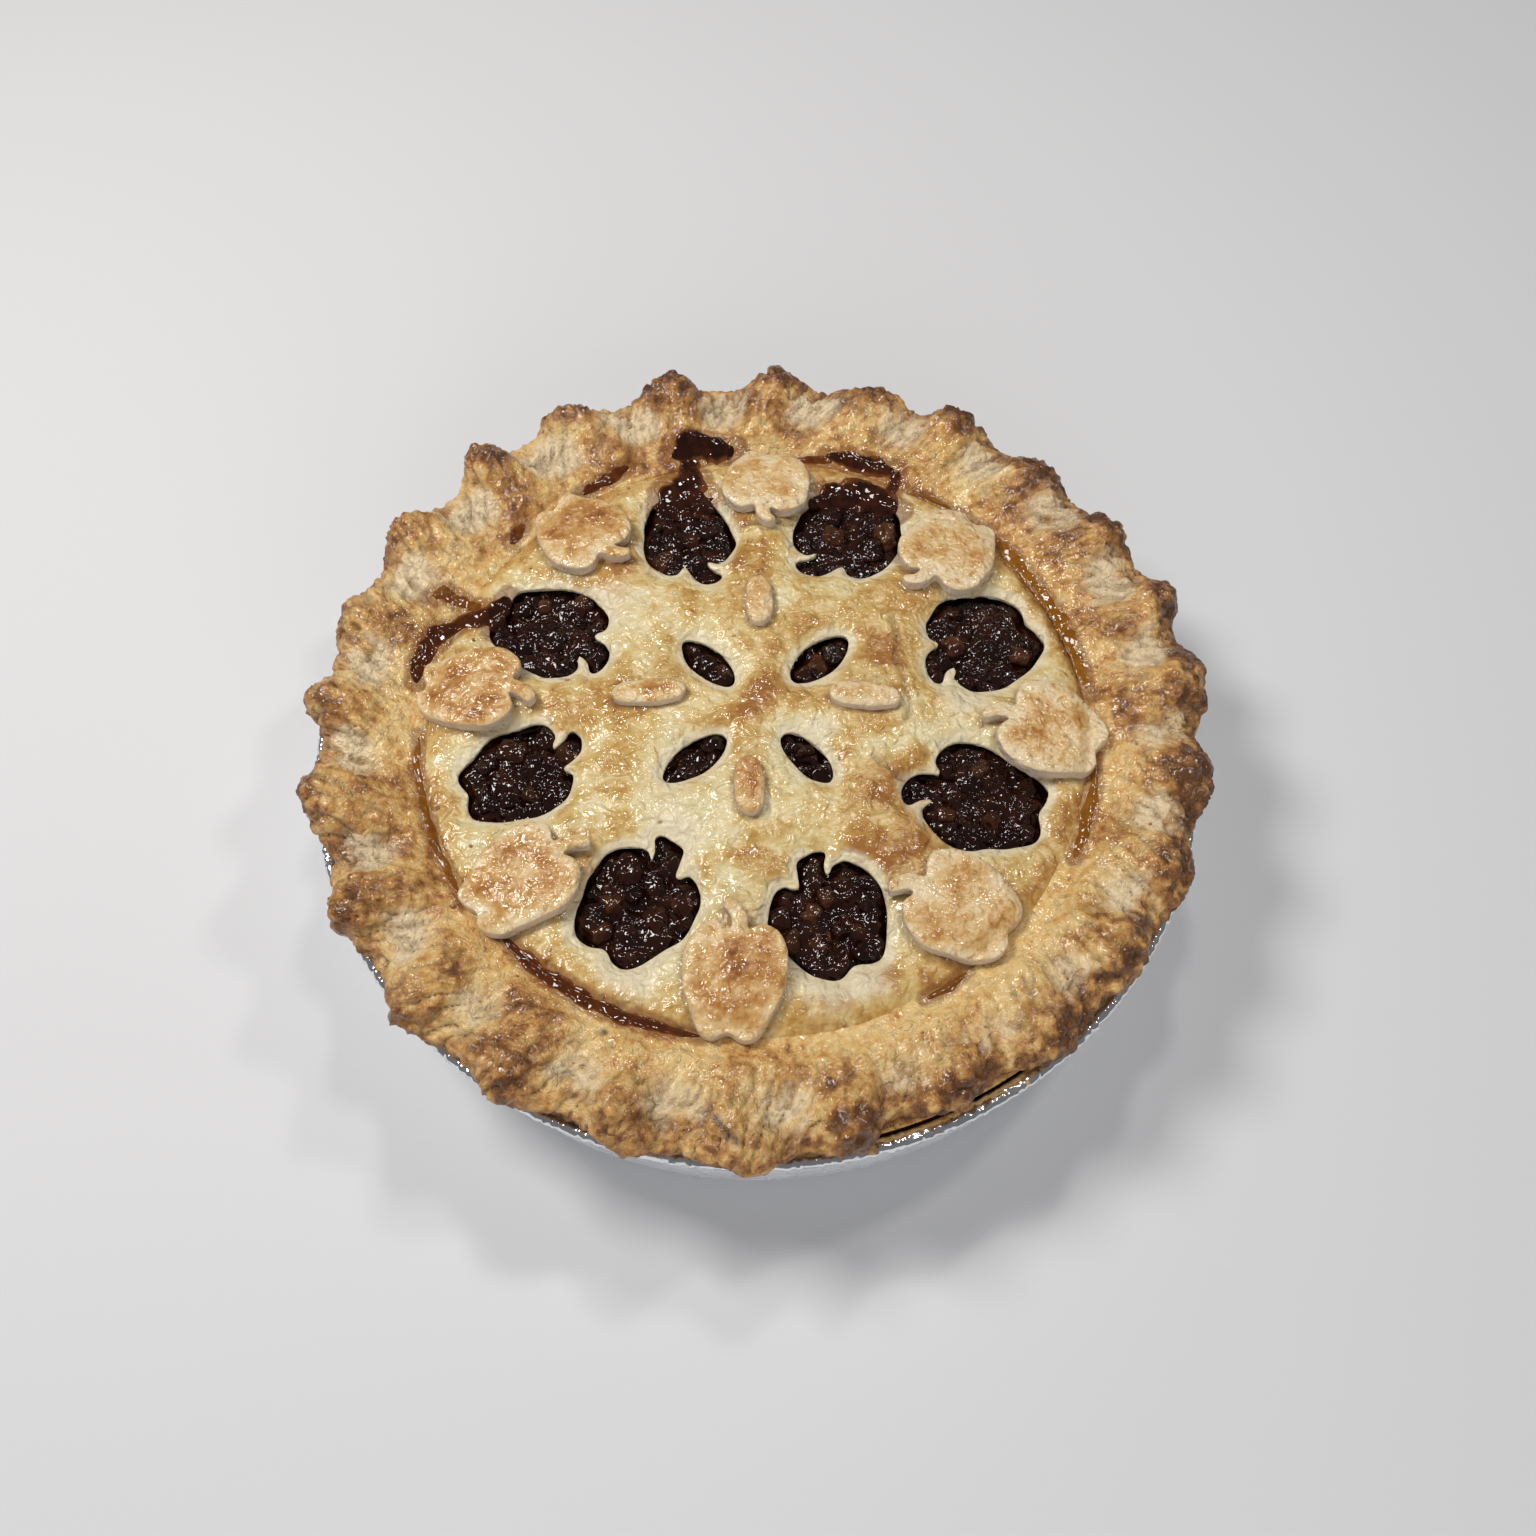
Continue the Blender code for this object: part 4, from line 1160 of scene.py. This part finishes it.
cutouts = {
    "thickness": 3.8,
    "pipThickness": 3.0,
    "voxel": 0.44,
    "soften": 2,
    "crown": 0.25,
    "toasted": (0.22, 0.12, 0.12, 0.22, 0.42, 0.34, 0.48, 0.40),
    "pipsToasted": (0.48, 0.18, 0.60, 0.44),
    "baked": (  # colours, from hardly baked to toasted
        (0.0, (0.80, 0.63, 0.39)),
        (0.28, (0.745, 0.515, 0.245)),
        (0.52, (0.62, 0.355, 0.125)),
        (0.78, (0.45, 0.20, 0.052)),
        (1.0, (0.25, 0.09, 0.024)),
    ),
    "side": (0.62, 0.50, 0.395),
    "dot": (0.46, 0.18, 0.038),
    "freckle": (0.30, 0.125, 0.04),
}


def buildCutout(name, outline, thickness, seed, toasted):
    piece = newPiece(name, slabFrom([outline], thickness))
    revoxel(piece, cutouts["voxel"], cutouts["soften"])
    points = readPoints(piece)
    share = np.clip(points[:, 2] / thickness, 0, 1)
    inland = lineDistance(points, list(outline) + [outline[0]])
    rest = np.maximum(lidTop(points), rimHeight(points))
    lumpy = grain(points, 6.0, 3, 20 + seed)
    fine = grain(points, 1.8, 2, 40 + seed)
    rise = cutouts["crown"] * smoothStep(0, 4, inland) - 0.3 * bell(inland, 0, 0.8)
    rise += 0.30 * lumpy + 0.10 * fine
    points[:, 2] += rest + rise * share
    writePoints(piece, points)
    cut = smoothStep(0.72, 0.35, readNormals(piece)[:, 2])
    browned = toasted + 0.32 * grain(points, 9.0, 3, 60 + seed)
    browned += 0.22 * smoothStep(1.0, 5.0, inland) + 0.2 * lumpy
    paint(piece, browned=browned, cut=cut, edged=bell(inland, 0, 1.6))
    return piece


def cutoutLook():
    look, shader, place = startLook("eggWashedCutout", Specular_IOR_Level=0.65)
    browned, cut, edged = attributes(place, "browned", "cut", "edged")
    blotch = speckle(place, 3.6, 5.0, 0.6)
    mottle = speckle(place, 1.2, 4.0, 0.6)
    freckle = speckle(place, 0.5, 3.0, 0.6)
    toast = browned + (blotch - 0.5) * 0.9 + (mottle - 0.5) * 0.7 - edged * 0.2
    baked = ramped(toast, cutouts["baked"])
    side = between(cut + (mottle - 0.5) * 0.35, 0.25, 0.75)
    colour = mixed(side * 0.9, baked, cutouts["side"])
    dots = between(speckle(place, 2.1, 2.0, 0.6), 0.59, 0.68) * (1.0 - side)
    colour = mixed(dots * 0.6, colour, cutouts["dot"])
    colour = mixed(between(freckle, 0.66, 0.74) * 0.5, colour, cutouts["freckle"])
    plug(colour, shader, "Base Color")
    wash = between(blotch, 0.34, 0.6, 0.2, 1.0) * (1.0 - side)
    plug(0.54 - wash * 0.44, shader, "Roughness")
    strokes = speckle(place, 2.8, 1.0, 0.5, 0.5)
    curls = speckle(place, 1.2, 1.0, 0.55, 0.2)
    low = bumped(strokes, 1.1)
    plug(bumped(curls, 0.32, 1.0, low), shader, "Normal")
    return look


cutoutFinish = cutoutLook()
for number, (outline, toasted) in enumerate(zip(appleOutlines, cutouts["toasted"]), 1):
    piece = buildCutout(f"cutoutApple{number}", outline, cutouts["thickness"], number, toasted)
    finishPiece(piece, cutoutFinish, "pastry", f"pastry_apple_{number}")
for number, (outline, toasted) in enumerate(zip(pipOutlines, cutouts["pipsToasted"]), 1):
    piece = buildCutout(f"cutoutPip{number}", outline, cutouts["pipThickness"], 10 + number, toasted)
    finishPiece(piece, cutoutFinish, "pastry", f"pastry_pip_{number}")


# filling under the windows

filling = {
    "radius": 83.0,
    "floorRadius": 84.9,
    "floor": 5.5,
    "stepsAround": 420,
    "rowGap": 0.95,
    "swell": 1.3,  # how far the filling stands up inside a window
    "lumpSize": 7.5,
    "lumpHeight": 2.2,
    "pulpSize": 3.6,
    "pulpHeight": 1.2,
    "chunksPerWindow": 9,
    "chunksPerLeaf": 2,
    "chunkRadius": (2.4, 4.6),
    "tries": 900,
    "juice": (  # colours, from the dark juice to the apple
        (0.0, (0.011, 0.0022, 0.0012)),
        (0.35, (0.030, 0.0075, 0.0032)),
        (0.65, (0.082, 0.028, 0.010)),
        (1.0, (0.20, 0.092, 0.036)),
    ),
}


def buildFillingCore():
    rows = int(filling["radius"] / filling["rowGap"])
    profile = [(filling["radius"] * row / rows, 30.0) for row in range(rows + 1)]
    profile += [(filling["floorRadius"], filling["floor"]), (0.0, filling["floor"])]
    bm = bmesh.new()
    spunRound(bm, [bm.verts.new((radius, 0, height)) for radius, height in profile], filling["stepsAround"])
    weldMiddle(bm)
    piece = newPiece("fillingCore", bm)
    points = readPoints(piece)
    top = points[:, 2] > filling["floor"] + 1
    points[top, 2] = lidTop(points[top]) - pie["fillingDrop"] - 0.2
    gap = outlineDistance(points, windowCuts)
    seen = top & (gap < 2.5)
    here = points[seen]
    flat = here.copy()
    flat[:, 2] = 0
    warped = flat + np.stack([grain(flat, 5.0, 2, 34), grain(flat, 5.0, 2, 35), flat[:, 2]], axis=1) * 2.0
    first, _ = cells(warped, filling["lumpSize"], 3)
    lump = 1 - np.clip(first * 1.25, 0, 1) ** 2
    first, _ = cells(warped, filling["pulpSize"], 4)
    pulpy = 1 - np.clip(first * 1.3, 0, 1) ** 2
    small = grain(flat, 2.2, 3, 31)
    here[:, 2] += filling["swell"] * smoothStep(0.4, -2.2, gap[seen]) + filling["lumpHeight"] * (lump - 0.62)
    here[:, 2] += filling["pulpHeight"] * (pulpy - 0.6) + 0.35 * small + 0.6 * grain(flat, 9.0, 2, 32)
    above = np.maximum(here[:, 2] - lidTop(here) + 1.6, 0)
    here[:, 2] -= above * 0.6
    points[seen] = here
    writePoints(piece, points)
    pulp = np.zeros(len(points))
    pulp[seen] = 0.25 * lump + 0.2 * pulpy + 0.7 * grain(flat, 6.0, 2, 33)
    paint(piece, pulp=pulp)
    return piece


def chunkSpots(outline, wanted, draw):
    points = np.array(outline)
    low, high = points.min(0), points.max(0)
    spots = []
    for _ in range(filling["tries"]):
        if len(spots) == wanted:
            break
        radius = draw.uniform(*filling["chunkRadius"])
        spot = np.array([[draw.uniform(low[0], high[0]), draw.uniform(low[1], high[1])]])
        room = -outlineDistance(spot, [outline])[0]
        if room < radius * 0.55:
            continue
        if all(math.dist(spot[0], other) > (radius + size) * 0.66 for other, size in spots):
            spots.append((tuple(spot[0]), radius))
    return spots


def buildChunks():
    draw = random.Random(37)
    bm = bmesh.new()
    shade = bm.verts.layers.float.new("shade")
    for outline in windowCuts:
        wanted = filling["chunksPerWindow"] if outline in appleCuts else filling["chunksPerLeaf"]
        for spot, radius in chunkSpots(outline, wanted, draw):
            level = float(lidTop(np.array([[spot[0], spot[1], 0.0]]))[0]) - pie["fillingDrop"]
            made = bmesh.ops.create_icosphere(bm, subdivisions=3, radius=radius)["verts"]
            squash = Vector((draw.uniform(0.95, 1.35), draw.uniform(0.7, 0.95), draw.uniform(0.45, 0.7)))
            bmesh.ops.scale(bm, verts=made, vec=squash)
            away = Vector((draw.uniform(0, 90), draw.uniform(0, 90), draw.uniform(0, 90)))
            tone = draw.random() ** 2
            for vert in made:
                squared = vert.co.normalized()
                most = max(abs(squared.x), abs(squared.y), abs(squared.z))
                vert.co *= 1 + 0.45 * (1 / most - 1.2)  # towards a diced block
                vert.co += squared * radius * 0.16 * noise.fractal(vert.co / 2.6 + away, 1.0, 2.0, 3)
                vert[shade] = tone
            tilt = Vector((draw.uniform(-0.3, 0.3), draw.uniform(-0.3, 0.3), 1)).normalized()
            turn = Matrix.Rotation(draw.uniform(0, math.tau), 3, tilt)
            bmesh.ops.rotate(bm, verts=made, matrix=turn)
            stand = filling["swell"] + draw.uniform(0.5, 1.5) - radius * squash.z
            bmesh.ops.translate(bm, verts=made, vec=(spot[0], spot[1], level + stand))
    return newPiece("fillingChunks", bm)


def fillingLook(name, chunk):
    look, shader, place = startLook(name, Specular_IOR_Level=0.45)
    clots = speckle(place, 3.6, 1.0, 0.6)
    sugar = speckle(place, 1.4, 0.0, 0.5)
    if chunk:
        tone = attribute(place, "shade") * 0.6 + (clots - 0.5) * 0.9
    else:
        tone = attribute(place, "pulp") * 0.45 + (clots - 0.5) * 0.8
    colour = ramped(tone, filling["juice"])
    plug(colour, shader, "Base Color")
    plug(between(clots, 0.3, 0.7, 0.025, 0.045), shader, "Roughness")
    low = bumped(clots, 1.8)
    plug(bumped(sugar, 0.6, 1.0, low), shader, "Normal")
    return look


corePiece = finishPiece(buildFillingCore(), fillingLook("fillingSyrup", False), "filling", "filling")
chunkPiece = finishPiece(buildChunks(), fillingLook("stewedApple", True), "filling", "filling")


# syrup that has boiled up over the pastry

lying = bpy.context.evaluated_depsgraph_get()
pieTrees = [BVHTree.FromObject(piece, lying) for piece in (crustPiece, lidPiece, corePiece, chunkPiece)]


def pieTop(points):  # the height of the baked pie under each point
    tops = []
    for x, y in points[:, :2]:
        hits = [tree.ray_cast(Vector((x * mm, y * mm, 0.1)), Vector((0, 0, -1)))[0] for tree in pieTrees]
        heights = [hit.z / mm for hit in hits if hit is not None]
        tops.append(max(heights, default=0))
    return np.maximum(tops, lidTop(points) - 5.0)


def alongLine(line, lengths, at):  # place and half width at each distance along a ribbon
    return np.stack([np.interp(at, lengths, values) for values in line.T], axis=1)


def buildSyrup():
    joined = bmesh.new()
    amber = joined.verts.layers.float.new("amber")
    thin = joined.verts.layers.float.new("thin")
    for ribbon in syrup["ribbons"]:
        line = np.array(ribbon["line"], float)
        lengths = np.concatenate([[0], np.cumsum(np.hypot(*np.diff(line[:, :2], axis=0).T))])
        steps = max(int(lengths[-1] / syrup["step"]), 8)
        across = syrup["segmentsAcross"]
        made = bmesh.ops.create_grid(joined, x_segments=steps, y_segments=across, size=1)["verts"]
        flat = np.array([v.co[:] for v in made])
        at = (flat[:, 0] + 1) / 2 * lengths[-1]
        centre = alongLine(line, lengths, at)
        ahead = alongLine(line, lengths, np.minimum(at + 1, lengths[-1]))
        along = (ahead - alongLine(line, lengths, np.maximum(at - 1, 0)))[:, :2]
        along /= np.linalg.norm(along, axis=1)[:, None]
        taper = np.sqrt(np.clip(1 - np.abs(flat[:, 0]) ** 6, 0.0025, 1))
        ragged = 1 + 0.55 * grain(centre * (1, 1, 0) + flat[:, 1:2] * (3, 3, 0), 4.0, 2, 51)
        width = centre[:, 2] * taper * ragged
        place = np.zeros((len(made), 3))
        place[:, 0] = centre[:, 0] - along[:, 1] * width * flat[:, 1]
        place[:, 1] = centre[:, 1] + along[:, 0] * width * flat[:, 1]
        dome = np.clip(1 - flat[:, 1] ** 2, 0, 1) ** 0.6 * taper
        gap = outlineDistance(place, windowCuts)
        rest = np.maximum(pieTop(place), lidTop(place) - 1.7 - 2.6 * smoothStep(0.0, 4.0, -gap))
        place[:, 2] = rest - syrup["sunk"] + ribbon["depth"] * dome + 0.12 * grain(place, 2.5, 2, 52)
        spreads = np.abs(flat[:, 1]) * smoothStep(0.2, 1.6, gap)
        for vert, point, spread in zip(made, place, spreads):
            vert.co = point
            vert[amber] = ribbon["amber"]
            vert[thin] = spread
        faces = list({face for vert in made for face in vert.link_faces})
        sheet = bmesh.ops.extrude_face_region(joined, geom=faces, use_keep_orig=True)
        lower = [item for item in sheet["geom"] if isinstance(item, bmesh.types.BMVert)]
        bmesh.ops.translate(joined, verts=lower, vec=(0, 0, -syrup["thickness"]))
    return newPiece("boiledSyrup", joined)


def syrupLook():
    look, shader, place = startLook("caramelSyrup", Specular_IOR_Level=0.38)
    amber = attribute(place, "amber")
    cloud = speckle(place, 3.0, 4.0, 0.6)
    tone = amber + (cloud - 0.5) * 0.6
    colour = ramped(tone, syrup["boiled"])
    edge = between(attribute(place, "thin") + (cloud - 0.5) * 0.5, 0.62, 1.0)
    colour = mixed(edge * 0.75, colour, syrup["edge"])
    plug(colour, shader, "Base Color")
    plug(between(cloud, 0.3, 0.7, 0.04, 0.08), shader, "Roughness")
    low = bumped(speckle(place, 3.4, 1.0), 0.6)
    plug(bumped(speckle(place, 1.4, 0.0), 0.15, 1.0, low), shader, "Normal")
    return look


finishPiece(buildSyrup(), syrupLook(), "filling")


# crumbs that have come off the pastry

crumbs = {
    "count": 70,
    "radius": (0.25, 0.7),
    "onFlange": ((24.5, -107.6, 1.3), (60.0, -93.0, 0.6), (-71.0, -83.0, 0.7)),
    "baked": (  # colours, from pale to toasted
        (0.35, (0.68, 0.50, 0.27)),
        (0.50, (0.48, 0.28, 0.11)),
        (0.65, (0.22, 0.10, 0.04)),
    ),
}


def buildCrumbs():
    draw = random.Random(71)
    spots = [(x, y, radius, pie["tinHeight"] + 0.2) for x, y, radius in crumbs["onFlange"]]
    while len(spots) < crumbs["count"]:
        angle, out = draw.uniform(0, math.tau), 100 * draw.random() ** 0.35
        spot = np.array([[out * math.cos(angle), out * math.sin(angle), 0.0]])
        if outlineDistance(spot, windowCuts)[0] > 1.5:
            spots.append((*spot[0, :2], draw.uniform(*crumbs["radius"]), pieTop(spot)[0]))
    bm = bmesh.new()
    for x, y, radius, height in spots:
        made = bmesh.ops.create_icosphere(bm, subdivisions=2, radius=radius)["verts"]
        away = Vector((x, y, 0))
        for vert in made:
            vert.co *= 1 + 0.5 * noise.noise(vert.co / radius * 0.9 + away)
        bmesh.ops.scale(bm, verts=made, vec=(draw.uniform(0.8, 1.4), draw.uniform(0.7, 1.0), 0.6))
        bmesh.ops.rotate(bm, verts=made, matrix=Matrix.Rotation(draw.uniform(0, math.tau), 3, "Z"))
        bmesh.ops.translate(bm, verts=made, vec=(x, y, height + radius * 0.3))
    return newPiece("pastryCrumbs", bm)


def crumbLook():
    look, shader, place = startLook("pastryCrumb", Roughness=0.6)
    tone = speckle(place, 2.5, 4.0, 0.6)
    colour = ramped(tone, crumbs["baked"])
    plug(colour, shader, "Base Color")
    plug(bumped(speckle(place, 0.4, 3.0), 0.2), shader, "Normal")
    return look


finishPiece(buildCrumbs(), crumbLook(), "pastry")
